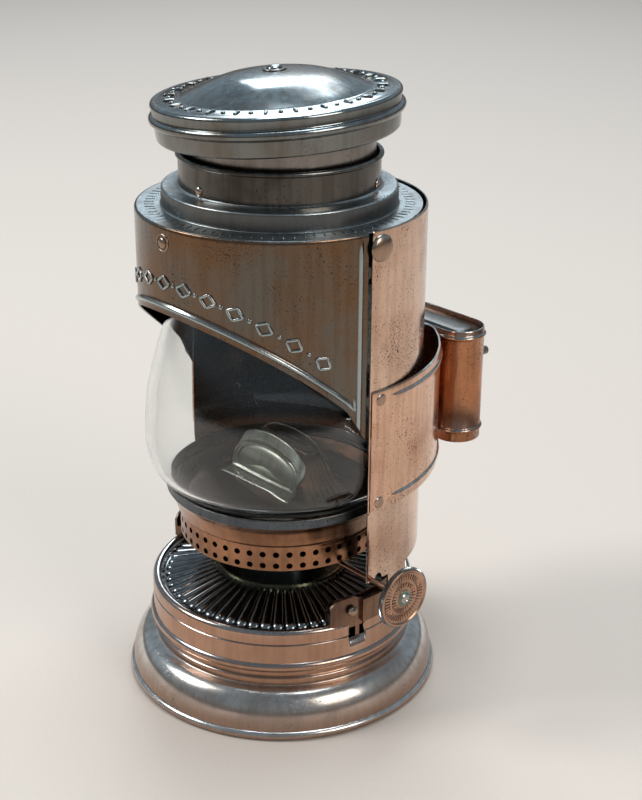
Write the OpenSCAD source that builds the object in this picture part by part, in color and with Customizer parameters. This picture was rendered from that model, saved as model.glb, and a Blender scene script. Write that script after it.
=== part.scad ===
// Small railway hand lantern with a kerosene burner: an oil font on a flared
// foot, a flat-wick burner, a glass globe, a fixed rear shield, a front hood
// that tilts up, a lift-off chimney cap, and a rear carrying strap with a box.
// Origin on the lantern's axis at the plane it stands on. +Z is up, the open
// front faces -Y, and the thumb wheel is on the +X side.

/* [Body] */
// Outer radius of the rear shield
body_r = 45; // [44:0.1:46]
// Height of the shield's lower edge
shield_z0 = 47.7; // [47.5:0.1:49]
// Height of the shield's top rim
shield_z1 = 160.9; // [160.7:0.1:162]
// Thickness of the rolled sheet
sheet = 0.6; // [0.5:0.05:0.7]

/* [Foot and font] */
// Outer radius of the foot's rolled rim
foot_r = 51.9; // [50:0.1:54]
// Radius of the font's wall
font_r = 42.2; // [42:0.1:42.4]
// Height where the foot meets the font
foot_z = 15.1; // [14:0.1:16]
// Height of the font's top rim
font_z1 = 34.5; // [34:0.1:35]
// Number of radial flutes on the font's top
flutes = 60; // [36:4:72]

/* [Burner] */
// Height of the wick shaft
shaft_z = 48.4; // [48.3:0.05:48.6]
// Radius of the wick shaft
shaft_r = 0.9; // [0.7:0.05:0.9]
// Distance of the shaft in front of the lantern's axis
shaft_y = -1.5; // [-2:0.1:-1.4]
// Radius of the thumb wheel
wheel_r = 9.9; // [8:0.1:10.5]
// Number of teeth on the thumb wheel's edge
wheel_teeth = 72; // [48:4:96]
// Air holes in each row round the gallery
air_holes = 50; // [30:2:60]
// Diameter of one air hole
air_hole_d = 2; // [1:0.1:2.2]

/* [Globe] */
// Greatest radius of the glass
globe_r = 43.7; // [42:0.1:43.8]
// Thickness of the glass
glass = 1.7; // [1.2:0.1:2.4]

/* [Hood] */
// Height of the pivot rivets
pivot_z = 155.6; // [155:0.1:156]
// Height of the hood's top plate
plate_z = 160.4; // [160:0.1:160.6]
// Height of the arched opening's bead at the front
arch_z = 136.4; // [134:0.1:140]
// Half the angle that the front hood covers
hood_half = 84.5; // [80:0.1:84.6]

/* [Cap] */
// Radius of the cap's bead
cap_r = 38.3; // [36:0.1:39]
// Tilt of the loosely seated cap
cap_tilt = 3.7; // [0:0.1:4]
// Direction in plan in which the cap stands high, from +X
cap_high = 50; // [30:1:70]

/* [Strap and box] */
// Height of the strap's lower edge
strap_z0 = 72.4; // [70:0.1:76]
// Height of the strap's upper edge
strap_z1 = 111.9; // [108:0.1:114]
// Distance of the strap's flat back from the axis
strap_back = 52.2; // [51.8:0.1:53]
// Depth of the flat box
box_depth = 16.1; // [14:0.1:18]
// Half the width of the flat box
box_half = 29; // [26:0.1:30]

/* [Hidden] */
$fn = 96;

nickel = [0.62, 0.64, 0.66];
aged_nickel = [0.60, 0.50, 0.42];
dark_nickel = [0.30, 0.31, 0.33];
copper_brown = [0.50, 0.34, 0.24];
wick_white = [0.85, 0.82, 0.74];
glass_clear = [0.80, 0.88, 0.90, 0.35];

cut = 0.5;              // how far cutting tools run past a face
gap = 0.3;              // clearance between curved sheets on different bodies
run = 0.05;             // radial running clearance of shafts and rivets
sunk = 0.1;             // how far a rivet's head or a saddle beds into what it sits on

shield_in = body_r - sheet;
hood_out = shield_in - gap;
hood_in = hood_out - sheet;
flange_in = hood_in - sheet;

rim_wire_r = 1.0;
rim_roll_r = 1.5;
rim_roll_z = 1.4;       // the roll's centre, so its underside is worn flat
rim_roll_c = foot_r - rim_roll_r;
font_sheet = 0.8;
font_in = font_r - 1.2;

collar_r = 20;
collar_hole_r = 17.5;
burner_flange_r = 22.9;
burner_neck_r = 15;
flange_z0 = 37.4;
flange_z1 = 38.8;
floor_z = 49.9;         // underside of the gallery's floor
band_r0 = 32.7;
band_r1 = 34.1;
band_z1 = 58.4;
bell_r = 37.2;
seat_z0 = 67;
seat_z1 = 70.2;
seat_r = 37.6;
seat_ledge_z = 67.8;
globe_z0 = 67.85;
globe_z1 = 138;
dome_z1 = 68.2;

tube_half = 13.0;       // half width of the wick tube
tube_y0 = 0.1;
tube_y1 = 3.7;
tube_wall = 0.5;
tube_z0 = 33;
tube_z1 = 79.5;
wick_gap = 0.3;
wick_z0 = 24;
wick_z1 = 80.6;
spur_r = 2.3;
spur_x = 6;
spur_w = 1.6;
wheel_x0 = 58.2;
wheel_w = 1.4;

deflector_y = 0.8;      // middle of the slot over the wick
deflector_half = 16.3;
deflector_z0 = 66.5;

neck_r = 30.6;
neck_sheet = 0.6;
neck_z1 = 176.4;
step_r = 36;
step_z1 = 166;
stud_z = 168.2;
cap_z0 = 181.7;
cap_z1 = 193.5;
cap_centre_z = 178;
sleeve_r = 28.9;
sleeve_z0 = 171.6;
sleeve_z1 = 182.9;

strap_t = 0.7;
strap_arc_r = 58;
strap_tab_y = 2;
strap_corner_r = 6;
bead_h = 1.8;
bead_out = 0.7;
box_y0 = strap_back;
box_r = box_depth / 2;
box_mid_y = box_y0 + box_r;
box_wall = 0.7;
box_top = strap_z1;
lid_z0 = 108.9;
lid_z1 = 110.3;

// ---- curves -------------------------------------------------------------
// One point of a Catmull-Rom span between b and c.
function span(a, b, c, d, t) =
    0.5 * ((2 * b) + (c - a) * t + (2 * a - 5 * b + 4 * c - d) * t * t
           + (3 * b - a - 3 * c + d) * t * t * t);
// A smooth line through the given points, with n steps in each span.
function smooth(p, n) = concat(
    [for (i = [0 : len(p) - 2], k = [0 : n - 1])
        span(p[max(i - 1, 0)], p[i], p[i + 1], p[min(i + 2, len(p) - 1)], k / n)],
    [p[len(p) - 1]]);
// The unit normal to the left of a line at point i.
function left_normal(p, i) =
    let (d = p[min(i + 1, len(p) - 1)] - p[max(i - 1, 0)], l = norm(d)) [-d[1] / l, d[0] / l];
// The line and its copy moved t to the left, as one closed outline.
function wall(p, t) = concat(p, [for (i = [len(p) - 1 : -1 : 0]) p[i] + t * left_normal(p, i)]);
// Points of an arc in the plane, from angle a0 to a1.
function arc(c, r, a0, a1, n) =
    [for (k = [0 : n]) let (a = a0 + (a1 - a0) * k / n) c + r * [cos(a), sin(a)]];
// A quarter of an ellipse from its top to its side.
function quarter(c, a, b, n) = [for (k = [0 : n]) let (t = 90 - 90 * k / n) c + [a * cos(t), b * sin(t)]];

// ---- shared shapes ------------------------------------------------------
module tube(r_out, r_in, z0, z1) {
    translate([0, 0, z0])
        difference() {
            cylinder(r = r_out, h = z1 - z0);
            translate([0, 0, -cut]) cylinder(r = r_in, h = z1 - z0 + 2 * cut);
        }
}

// A wedge of full height, from azimuth a0 to a1, where 0 is the front and 90 is +X.
module wedge(a0, a1, r, z0, z1) {
    steps = ceil((a1 - a0) / 30);
    rim = r / cos((a1 - a0) / steps / 2);
    translate([0, 0, z0])
        linear_extrude(z1 - z0)
            polygon(concat([[0, 0]],
                [for (k = [0 : steps]) let (a = a0 + (a1 - a0) * k / steps) rim * [sin(a), -cos(a)]]));
}

// Part of a tube between two azimuths.
module curved_sheet(a0, a1, r_out, r_in, z0, z1) {
    intersection() {
        tube(r_out, r_in, z0, z1);
        wedge(a0, a1, r_out + 2, z0 - cut, z1 + cut);
    }
}

// Turns something drawn standing on the XY plane so that it points outwards at an azimuth.
module outward(azimuth, r, z) {
    rotate([0, 0, azimuth - 90]) translate([r, 0, z]) rotate([0, 90, 0]) children();
}

// A rivet: a low domed head that starts at height 0, and a shank below it.
module rivet(head_r, head_h, shank_r = 0, shank_l = 0) {
    shank = shank_l > 0 ? [[0, -shank_l], [shank_r, -shank_l], [shank_r, 0]] : [[0, 0]];
    dome = [for (k = [0 : 6]) [head_r * cos(15 * k), head_h * sin(15 * k)]];
    rotate_extrude($fn = 48) polygon(concat(shank, dome));
}

// A disc whose edge has small teeth.
module toothed_disc(r, depth, teeth, h) {
    linear_extrude(h)
        polygon([for (k = [0 : 2 * teeth - 1]) let (a = 180 * k / teeth)
            (k % 2 == 0 ? r : r - depth) * [cos(a), sin(a)]]);
}

// ---- foot and font ------------------------------------------------------
// The flared foot: a flat ledge, a domed side, and a rim rolled round a wire.
module foot_skirt() {
    roll_c = [rim_roll_c, rim_roll_z];
    join = 75;          // angle on the roll where the side runs into it
    side_end = roll_c + rim_roll_r * [cos(join), sin(join)];
    outer = concat([[38, foot_z], [43.1, foot_z], [43.4, foot_z - 0.5]],
        quarter([43.5, side_end[1]], side_end[0] - 43.5, foot_z - 0.6 - side_end[1], 14));
    inner = [for (i = [len(outer) - 1 : -1 : 0]) outer[i] - font_sheet * left_normal(outer, i)];
    color(nickel) rotate_extrude() difference() {
        polygon(concat(outer, arc(roll_c, rim_roll_r, join - 10, join - 330, 28), inner));
        translate(roll_c) circle(r = rim_wire_r, $fn = 24);
        translate([0, -5]) square([foot_r + 5, 5]);
    }
}

module foot_rim_wire() {
    color(dark_nickel) rotate_extrude() translate([rim_roll_c, rim_roll_z]) circle(r = rim_wire_r, $fn = 24);
}

// The oil font's wall, with a half-round bead, two grooves and a rounded rim.
module font_wall() {
    bead_z = 21.6;
    bead_r = 1.7;
    outer = concat(
        [[font_r - 0.4, foot_z], [font_r - 0.4, 17.4], [font_r - 0.7, 17.7], [font_r - 0.4, 18.0], [font_r, 19.8]],
        arc([font_r - 0.6, bead_z], bead_r, -68, 68, 8),
        [[font_r, 23.4], [font_r, 29.4], [font_r - 0.4, 29.7], [font_r, 30.1]],
        arc([font_r - 1.6, font_z1 - 1.6], 1.6, 0, 150, 8));
    slot_azimuth = 83;
    color(nickel) difference() {
        rotate_extrude() polygon(concat(outer, [[39.6, 32.4], [font_in - 0.2, 31.6], [font_in, 29], [font_in, foot_z]]));
        for (side = [1, -1])
            rotate([0, 0, side * (slot_azimuth - 90)])
                translate([side * (font_in - 1.5), -3.3, 28.6]) cube_sided(side, 4, 6.6, 5.2);
    }
}

// A cube that grows to +X or to -X.
module cube_sided(side, w, d, h) {
    translate([side > 0 ? 0 : -w, 0, 0]) cube([w, d, h]);
}

module font_bottom() {
    color(dark_nickel) difference() {
        translate([0, 0, foot_z]) cylinder(r = font_in, h = font_sheet);
        translate([0, 0, foot_z - cut]) cylinder(r = 3, h = cut);
    }
}

// The font's top: a shallow cone of thin sheet from the rim up to the burner, with radial flutes.
module fluted_top() {
    // radius, height of the valleys, height of the ridges over them
    rings = [[40.2, 32.4, 0], [39.0, 32.5, 0], [38.1, 32.8, 1.2], [23.2, 36.6, 0.7], [collar_r - 0.2, 37.0, 0]];
    n = 2 * flutes;
    function point(ring, k, drop) =
        let (r = ring[0], a = 360 * k / n, lift = k % 2 == 0 ? ring[2] : 0)
        [r * cos(a), r * sin(a), ring[1] + lift - drop];
    last = len(rings) - 1;
    top = [for (ring = rings, k = [0 : n - 1]) point(ring, k, 0)];
    under = [for (ring = rings, k = [0 : n - 1]) point(ring, k, font_sheet)];
    // the point numbers of one square of sheet between ring i and the next
    function square_at(i, k) = [i * n + k, i * n + (k + 1) % n, (i + 1) * n + (k + 1) % n, (i + 1) * n + k];
    function halves(q) = [[q[0], q[1], q[2]], [q[0], q[2], q[3]]];
    function flip(q) = [q[3], q[2], q[1], q[0]];
    m = len(top);
    upper = [for (i = [0 : last - 1], k = [0 : n - 1], f = halves(flip(square_at(i, k)))) f];
    lower = [for (i = [0 : last - 1], k = [0 : n - 1], f = halves(square_at(i, k))) [for (v = f) v + m]];
    edges = [for (k = [0 : n - 1]) let (j = (k + 1) % n, e = last * n)
        each concat(halves([k, j, j + m, k + m]), halves([e + k, e + k + m, e + j + m, e + j]))];
    color(dark_nickel) polyhedron(points = concat(top, under), faces = concat(upper, lower, edges));
}

module font_collar() {
    color(copper_brown) tube(collar_r, collar_hole_r, 31, flange_z0);
}

// ---- burner -------------------------------------------------------------
// The burner's screwed flange with a toothed edge, and the neck that carries the shaft.
module burner_base() {
    color(copper_brown) difference() {
        union() {
            translate([0, 0, flange_z0]) toothed_disc(burner_flange_r, 0.9, 72, 0.8);
            cylinder_between(burner_flange_r - 1.2, flange_z0, flange_z1);
            translate([0, 0, 31]) cylinder(r = collar_hole_r, h = flange_z0 - 31);
            cylinder_between(burner_neck_r, flange_z1, floor_z);
        }
        cylinder_between(burner_neck_r - 1.2, 31 - cut, flange_z0);
        cylinder_between(burner_neck_r - 1.2, flange_z1, floor_z + cut);
        flat_tube_block(tube_half, tube_y0, tube_y1, flange_z0 - cut, flange_z1 + cut);
        translate([-collar_r, shaft_y, shaft_z]) rotate([0, 90, 0]) cylinder(r = shaft_r + run, h = 2 * collar_r);
    }
}

module cylinder_between(r, z0, z1) {
    translate([0, 0, z0]) cylinder(r = r, h = z1 - z0);
}

// The gallery: a floor, a band with two rows of air holes, and a bell that opens to the globe.
module gallery() {
    bell = [[band_r1, band_z1 - 0.4], [35.0, 62.0], [36.2, 65.0], [bell_r, seat_z0],
        [bell_r - 0.7, seat_z0], [35.5, 65.3], [34.3, 62.2], [band_r0 - 0.1, band_z1 - 0.4]];
    color(copper_brown) {
        translate([0, 0, floor_z]) difference() {
            cylinder(r = band_r0, h = 0.8);
            translate([0, 0, -cut]) cylinder(r = burner_neck_r - 1.2, h = 0.8 + 2 * cut);
        }
        air_band();
        rotate_extrude() polygon(bell);
    }
}

// The band is folded from a strip with one flat for each pair of holes.
module air_band() {
    mid_r = (band_r0 + band_r1) / 2;
    flat = 360 / air_holes;
    function ring(r) = [for (k = [0 : air_holes - 1]) let (a = (k + 0.5) * flat) r * [cos(a), sin(a)]];
    translate([0, 0, floor_z]) difference() {
        linear_extrude(band_z1 - floor_z) difference() {
            polygon(ring(mid_r));
            polygon(ring(mid_r - 0.7));
        }
        for (row_z = [2.5, 6.4], k = [0 : air_holes - 1])
            rotate([0, 0, k * flat])
                translate([mid_r - 2, 0, row_z]) rotate([0, 90, 0]) cylinder(d = air_hole_d, h = 4, $fn = 24);
    }
}

module globe_seat_ring() {
    color(dark_nickel) rotate_extrude()
        polygon([[34.6, seat_z0], [seat_r, seat_z0], [seat_r, seat_z1 - 0.3], [seat_r - 0.3, seat_z1],
                 [seat_r - 0.6, seat_z1], [seat_r - 0.6, seat_ledge_z], [34.6, seat_ledge_z]]);
}

// The shallow dome that turns the air in towards the flame.
module air_dome() {
    line = smooth([[12, dome_z1], [18, 67.9], [24, 67.1], [30, 65.6], [33.6, 63.8], [34.6, 62.8]], 3);
    color(copper_brown) difference() {
        rotate_extrude() polygon(wall(line, -0.6));
        translate([-deflector_half, deflector_y - 8.8, 60]) cube([2 * deflector_half, 17.6, 12]);
        translate([0, deflector_y, 0]) end_skirt_blocks();
    }
}

// Room under the flame deflector's two flared ends.
module end_skirt_blocks() {
    for (side = [1, -1])
        translate([side * deflector_half, -7, 60]) cube_sided(side, 6.8, 14, 12);
}

// The outline of the deflector seen from the front, from half width w and top z1.
function arch_front(w, z0, z1) = concat([[-w, z0], [w, z0], [w, z1 - 10]],
    [for (k = [0 : 12]) let (a = 180 * k / 12) [w * cos(a), z1 - 10 + 10 * pow(sin(a), 0.8)]],
    [[-w, z1 - 10]]);
// The outline seen from the side.
function roof_side(t) = [[-9.3 + t, deflector_z0 - cut * sign(t)], [9.3 - t, deflector_z0 - cut * sign(t)],
    [5.4 - t, 80 - t], [4 - t / 2, 83.4 - t], [-4 + t / 2, 83.4 - t], [-5.4 + t, 80 - t]];

// The split cap over the wick: two sloping D-shaped faces, a slot, and flared ends.
module flame_deflector() {
    t = 0.6;
    slot_half = 3.6;
    color(dark_nickel) translate([0, deflector_y, 0]) {
        difference() {
            intersection() {
                rotate([90, 0, 0]) translate([0, 0, -12]) linear_extrude(24)
                    polygon(arch_front(deflector_half, deflector_z0, 83.4));
                rotate([90, 0, 90]) translate([0, 0, -20]) linear_extrude(40) polygon(roof_side(0));
            }
            intersection() {
                rotate([90, 0, 0]) translate([0, 0, -12]) linear_extrude(24)
                    polygon(arch_front(deflector_half - t, deflector_z0 - cut, 83.4 - t));
                rotate([90, 0, 90]) translate([0, 0, -20]) linear_extrude(40) polygon(roof_side(t));
            }
            translate([-deflector_half + 2, -slot_half, 74]) cube([2 * deflector_half - 4, 2 * slot_half, 12]);
        }
        for (side = [1, -1])
            rotate([90, 0, 0]) translate([0, 0, -7]) linear_extrude(14)
                polygon([[side * (deflector_half - 0.4), 73.2], [side * (deflector_half + 6.6), 67.6],
                    [side * (deflector_half + 6.6), 66.8], [side * (deflector_half - 0.4), 72.2]]);
    }
}

// The flat tube that guides the wick, with two windows for the spur wheels.
module wick_tube() {
    color(copper_brown) difference() {
        flat_tube_block(tube_half, tube_y0, tube_y1, tube_z0, tube_z1);
        flat_tube_block(tube_half - tube_wall, tube_y0 + tube_wall, tube_y1 - tube_wall, tube_z0 - cut, tube_z1 + cut);
        for (side = [1, -1])
            translate([side * spur_x - spur_w / 2 - 0.4, tube_y0 - cut, shaft_z - 3])
                cube([spur_w + 0.8, tube_wall + 2 * cut, 6]);
    }
}

// An upright bar with a long flat section and round ends.
module flat_tube_block(half, y0, y1, z0, z1) {
    r = (y1 - y0) / 2;
    translate([0, y0 + r, z0]) {
        for (side = [1, -1]) translate([side * (half - r), 0, 0]) cylinder(r = r, h = z1 - z0, $fn = 32);
        translate([r - half, -r, 0]) cube([2 * (half - r), 2 * r, z1 - z0]);
    }
}

module wick() {
    color(wick_white)
        flat_tube_block(tube_half - tube_wall - wick_gap, tube_y0 + tube_wall + wick_gap,
            tube_y1 - tube_wall - wick_gap, wick_z0, wick_z1);
}

module shaft_bush() {
    length = 6.4;
    color(copper_brown) on_shaft(burner_neck_r - 0.4) difference() {
        cylinder(r = 1.45, h = length);
        translate([0, 0, -cut]) cylinder(r = shaft_r + run, h = length + 2 * cut);
    }
}

// ---- wick shaft and thumb wheel ----------------------------------------
module on_shaft(x) {
    translate([x, shaft_y, shaft_z]) rotate([0, 90, 0]) children();
}

module wick_shaft() {
    color(copper_brown) on_shaft(-burner_neck_r - 0.8)
        cylinder(r = shaft_r, h = wheel_x0 + wheel_w + burner_neck_r + 0.8);
}

module spur_wheels() {
    color(copper_brown) for (side = [1, -1])
        on_shaft(side * spur_x - spur_w / 2) difference() {
            toothed_disc(spur_r, 0.6, 10, spur_w);
            translate([0, 0, -cut]) cylinder(r = shaft_r, h = spur_w + 2 * cut);
        }
}

// The thumb wheel: a thin disc with a milled edge and two rings of pressed radial marks.
module thumb_wheel() {
    mark_h = 0.25;
    color(copper_brown) on_shaft(wheel_x0) difference() {
        union() {
            toothed_disc(wheel_r, 0.35, wheel_teeth, wheel_w);
            for (ring = [[6.6, 1.8, 40], [3.9, 1.5, 26]], k = [0 : ring[2] - 1])
                rotate([0, 0, 360 * k / ring[2]])
                    translate([ring[0] - ring[1] / 2, -0.2, wheel_w - sunk]) cube([ring[1], 0.4, mark_h + sunk]);
        }
        translate([0, 0, -cut]) cylinder(r = shaft_r, h = wheel_w + 2 * cut);
    }
}

module wheel_hub() {
    color(dark_nickel) {
        on_shaft(wheel_x0 - 2) difference() {
            cylinder(r = 2.4, h = 2);
            translate([0, 0, -cut]) cylinder(r = shaft_r, h = 2 + 2 * cut);
        }
        on_shaft(wheel_x0 + wheel_w) rivet(1.9, 0.9);
    }
}

// ---- globe --------------------------------------------------------------
module globe() {
    line = smooth([[36.4, globe_z0], [36.7, seat_z1], [41.4, 75.2], [globe_r - 0.3, 81.5], [globe_r, 88],
        [globe_r - 0.9, 98.5], [41.2, 106.5], [37.8, 118], [33.2, 129.5], [30.6, 135], [30, globe_z1]], 4);
    color(glass_clear) rotate_extrude() polygon([for (p = wall(line, glass)) [p[0], max(p[1], globe_z0)]]);
}

// ---- brackets and shield ------------------------------------------------
// A saddle over the font's rim: an inner and an outer wall joined by a rounded end.
// The outer wall steps outwards to lie against the shield's foot.
module side_bracket(side) {
    rim_in = 39.4;
    outer_in = font_r + 0.1;
    joggle_out = shield_in;
    a_end = 111;
    mirror([side > 0 ? 0 : 1, 0, 0]) {
        // outer wall, plain part with a rounded nose
        intersection() {
            curved_sheet(70.3, 85.6, outer_in + 0.8, outer_in, 32.6, 43.4);
            rotate([90, 0, 90]) translate([0, 0, 30]) linear_extrude(20)
                polygon(nose_outline());
        }
        // outer wall, part that lies against the shield's foot
        curved_sheet(85, a_end, joggle_out, joggle_out - 0.8, 34, 41.9);
        // web between the two levels
        curved_sheet(84.8, 85.8, joggle_out, outer_in, 34, 41.9);
        // inner wall
        curved_sheet(71.5, a_end, rim_in, rim_in - 0.8, 34.6, 40.8);
        // rounded nose that joins the walls above the rim
        curved_sheet(70.3, 71.5, outer_in + 0.8, rim_in - 0.8, font_z1 - sunk, 38.2);
        // bridge over the rim at the far end
        curved_sheet(a_end - 6, a_end, joggle_out, rim_in - 0.8, font_z1 - sunk, 35.6);
        // tongue that hooks through the slot in the font's wall
        curved_sheet(82.2, 84.2, outer_in + 0.8, font_in - 0.9, 29.2, 30.4);
        curved_sheet(82.2, 84.2, outer_in + 0.8, outer_in, 29.2, 34);
    }
}

// The outer wall's rounded outline, across Y and up Z.
function nose_outline() = concat([[0, 32.6], [0, 41.9], [-4.0, 41.9], [-6.4, 43.2]],
    [for (k = [0 : 16]) let (a = 90 + 180 * k / 16) [-9.9 + 5.3 * cos(a), 37.9 + 5.3 * sin(a)]]);

module side_bracket_right() { color(copper_brown) side_bracket(1); }
module side_bracket_left() { color(copper_brown) side_bracket(-1); }

module bracket_rivets() {
    color(nickel) for (side = [1, -1]) {
        outward(side * 80, font_r + 0.9 - sunk, 38.7) rivet(1.7, 1.1);
        outward(side * 105, body_r - sunk, 38.4) rivet(1.5, 0.8);
    }
}

// The fixed rear half of the body, with a foot on each side and a notch over the shaft.
module shield() {
    front = 85.7;
    back = 360 - front;
    color(aged_nickel) difference() {
        union() {
            difference() {
                tube(body_r, shield_in, shield_z0, shield_z1);
                wedge(-front, front, body_r + 2, shield_z0 - cut, shield_z1 + cut);
            }
            curved_sheet(98, 111, body_r, shield_in, 34.5, shield_z0 + 1);
            curved_sheet(back - 111 + front, back - 98 + front, body_r, shield_in, 34.5, shield_z0 + 1);
        }
        for (side = [1, -1])
            translate([0, 0, pivot_z]) rotate([0, side * 90, 0])
                translate([0, 0, 40]) cylinder(r = 1.6, h = 10);
        translate([40, shaft_y, shaft_z]) rotate([0, 90, 0]) cylinder(r = 1.5, h = 10);
        translate([40, shaft_y - 1.5, shield_z0 - 2]) cube([10, 3, shaft_z - shield_z0 + 2]);
    }
}

// The two rivets that the hood turns on: a domed head outside, a shank, and a flat inside.
module pivot_rivets() {
    color(nickel) for (side = [1, -1])
        outward(side * 90, body_r, pivot_z) {
            rivet(4.1, 1.5, 1.6, body_r - flange_in + 0.9);
            translate([0, 0, flange_in - body_r - 0.9]) cylinder(r = 2.6, h = 0.6);
        }
}

// ---- strap and flat box -------------------------------------------------
// Half of the strap's outer line in plan, from the tab on the shield to the middle of the back.
function strap_line(off) =
    let (cx = body_r + strap_t - strap_arc_r,
         rr = strap_arc_r + off,
         corner_y = strap_back - strap_corner_r,
         turn = asin((corner_y - strap_tab_y) / (strap_arc_r - strap_corner_r)),
         corner_x = cx + (strap_arc_r - strap_corner_r) * cos(turn))
    concat(arc([cx, strap_tab_y], rr, 0, turn, 14),
           arc([corner_x, corner_y], strap_corner_r + off, turn + 6, 90, 5),
           [[0, strap_back + off]]);

module strap_half(off_out, off_in, z0, z1) {
    outer = strap_line(off_out);
    inner = strap_line(off_in);
    translate([0, 0, z0]) linear_extrude(z1 - z0)
        polygon(concat(outer, [for (i = [len(inner) - 1 : -1 : 0]) inner[i]]));
}

// The band riveted to the shield on both sides that loops behind it.
module strap_band() {
    color(aged_nickel) difference() {
        union() {
            for (side = [0, 1]) mirror([side, 0, 0]) {
                strap_half(0, -strap_t, strap_z0, strap_z1);
                curved_sheet(86, 92.6, body_r + strap_t, body_r, strap_z0, strap_z1);
                for (z = [strap_z0 + 2.2, strap_z1 - 2.2 - bead_h])
                    intersection() {
                        strap_half(bead_out, -0.1, z, z + bead_h);
                        translate([0, 6, 0]) cube([70, strap_back - 6.3, 200]);
                    }
            }
        }
        cylinder(r = body_r, h = 200);
    }
}

module strap_rivets() {
    color(nickel) for (side = [1, -1], z = [75.1, 109])
        outward(side * 90.5, body_r + strap_t - sunk, z) rivet(1.9, 0.7);
}

module oval(half, r, z0, z1) {
    translate([0, box_mid_y, z0]) linear_extrude(z1 - z0)
        polygon(concat(arc([half - r, 0], r, -90, 90, 24), arc([r - half, 0], r, 90, 270, 24)));
}

// The flat oval box on the strap's back, with a bead near each end.
module box_body() {
    color(aged_nickel) difference() {
        union() {
            oval(box_half, box_r, strap_z0, box_top);
            for (z = [75.4, 108.5])
                intersection() {
                    oval(box_half + bead_out, box_r + bead_out, z, z + bead_h);
                    translate([-50, box_y0, 0]) cube([100, 50, 200]);
                }
        }
        oval(box_half - box_wall, box_r - box_wall, strap_z0 - cut, box_top + cut);
    }
}

module box_floor() {
    color(aged_nickel) oval(box_half - box_wall, box_r - box_wall, strap_z0 + 0.6, strap_z0 + 1.4);
}

// The lid sits down inside the box's rim, on a raised oval panel of its own.
module box_lid() {
    lid_gap = 0.25;
    color(dark_nickel) {
        difference() {
            oval(box_half - box_wall - lid_gap, box_r - box_wall - lid_gap, lid_z0 - 4.5, lid_z1);
            oval(box_half - box_wall - lid_gap - 0.6, box_r - box_wall - lid_gap - 0.6, lid_z0 - 5, lid_z0);
        }
        oval(box_half - 5, box_r - 4.2, lid_z1, lid_z1 + 0.8);
    }
}

module back_studs() {
    color(dark_nickel) for (side = [1, -1])
        translate([side * 18, box_y0 + box_depth, 98]) rotate([-90, 0, 0]) {
            cylinder(r = 1.45, h = 8.4);
            translate([0, 0, 8.4]) cylinder(r1 = 1.45, r2 = 1.1, h = 0.5);
        }
}

// ---- hood ---------------------------------------------------------------
// Height of the arched edge at azimuth a: a parabola in the flat sheet, ending in points.
function arch_drop(a) = pow(hood_out * a * PI / 180, 2) / 129;
function arch_edge(a) = arch_z - 2.6 - arch_drop(a) - (abs(a) > 76 ? (abs(a) - 76) * 0.55 : 0);

// The front canopy, with an arched opening over the globe.
module hood_canopy() {
    step_a = 3.25;
    n = round(hood_half / step_a);
    edge = [for (k = [-n : n]) let (a = hood_half * k / n) [hood_out * sin(a), arch_edge(a)]];
    color(aged_nickel) {
        intersection() {
            curved_sheet(-hood_half, hood_half, hood_out, hood_in, 96, plate_z);
            rotate([90, 0, 0]) linear_extrude(50) polygon(concat(edge, [[50, edge[2 * n][1]], [50, 170], [-50, 170],
                [-50, edge[0][1]]]));
        }
        for (side = [1, -1])
            outward(side * 81, hood_out - 0.1, 133) rotate([0, 90, 0]) translate([0, 0, -25])
                intersection() {
                    cylinder(r = 0.8, h = 50, $fn = 24);
                    translate([-0.8, -1, 0]) cube([1.5, 2, 50]);
                }
        // the bead that stiffens the arch
        intersection() {
            curved_sheet(-80, 80, hood_out + 0.8, hood_in, 96, plate_z);
            rotate([90, 0, 0]) linear_extrude(50) polygon(wall([for (k = [-n : n]) let (a = 80 * k / n)
                [hood_out * sin(a), arch_z - 0.9 - arch_drop(a)]], 1.8));
        }
    }
}

module hood_rivet() {
    color(nickel) outward(0, hood_out - sunk, 155.5) rivet(1.7, 0.9);
}

// The hood's top: a flat ring with a turned-down flange and an ear at each pivot.
module top_plate() {
    color(nickel) difference() {
        union() {
            tube(hood_in, neck_r, plate_z - sheet, plate_z);
            tube(hood_in, flange_in, 155.2, plate_z - sheet);
            for (side = [1, -1]) curved_sheet(side * 90 - 8, side * 90 + 8, hood_in, flange_in, 151.2, 155.3);
        }
        translate([-50, 0, pivot_z]) rotate([0, 90, 0]) cylinder(r = 1.6 + run, h = 100);
    }
}

// The drawn step between the plate and the neck.
module neck_step() {
    line = concat([[step_r, plate_z]], arc([step_r - 0.8, step_z1 - 0.8], 0.8, 0, 90, 4), [[neck_r + 0.9, step_z1]],
        [[neck_r + 0.4, step_z1 + 0.2], [neck_r, step_z1 + 0.6]]);
    color(nickel) rotate_extrude() polygon(wall(line, neck_sheet));
}

// The chimney neck with a rolled rim.
module neck_ring() {
    roll = 0.8;
    color(nickel) difference() {
        union() {
            tube(neck_r, neck_r - neck_sheet, plate_z - sheet, neck_z1 - roll);
            rotate_extrude() translate([neck_r, neck_z1 - roll]) circle(r = roll, $fn = 24);
        }
        translate([0, 0, plate_z - 2]) cylinder(r = neck_r - neck_sheet, h = 30);
        for (a = [0, 120, 240]) outward(a, neck_r - 3, stud_z) cylinder(r = 0.9, h = 6);
    }
}

// Three studs through the neck, on whose inner ends the cap's sleeve rests.
module neck_studs() {
    color(nickel) for (a = [0, 120, 240])
        outward(a, neck_r, stud_z) rivet(1.5, 0.8, 0.9, 3.2);
}

// ---- cap ----------------------------------------------------------------
// Tilts the loosely seated cap about a point on the axis.
module seated() {
    translate([0, 0, cap_centre_z])
        rotate(a = cap_tilt, v = [sin(cap_high), -cos(cap_high), 0])
            translate([0, 0, -cap_centre_z]) children();
}

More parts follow.
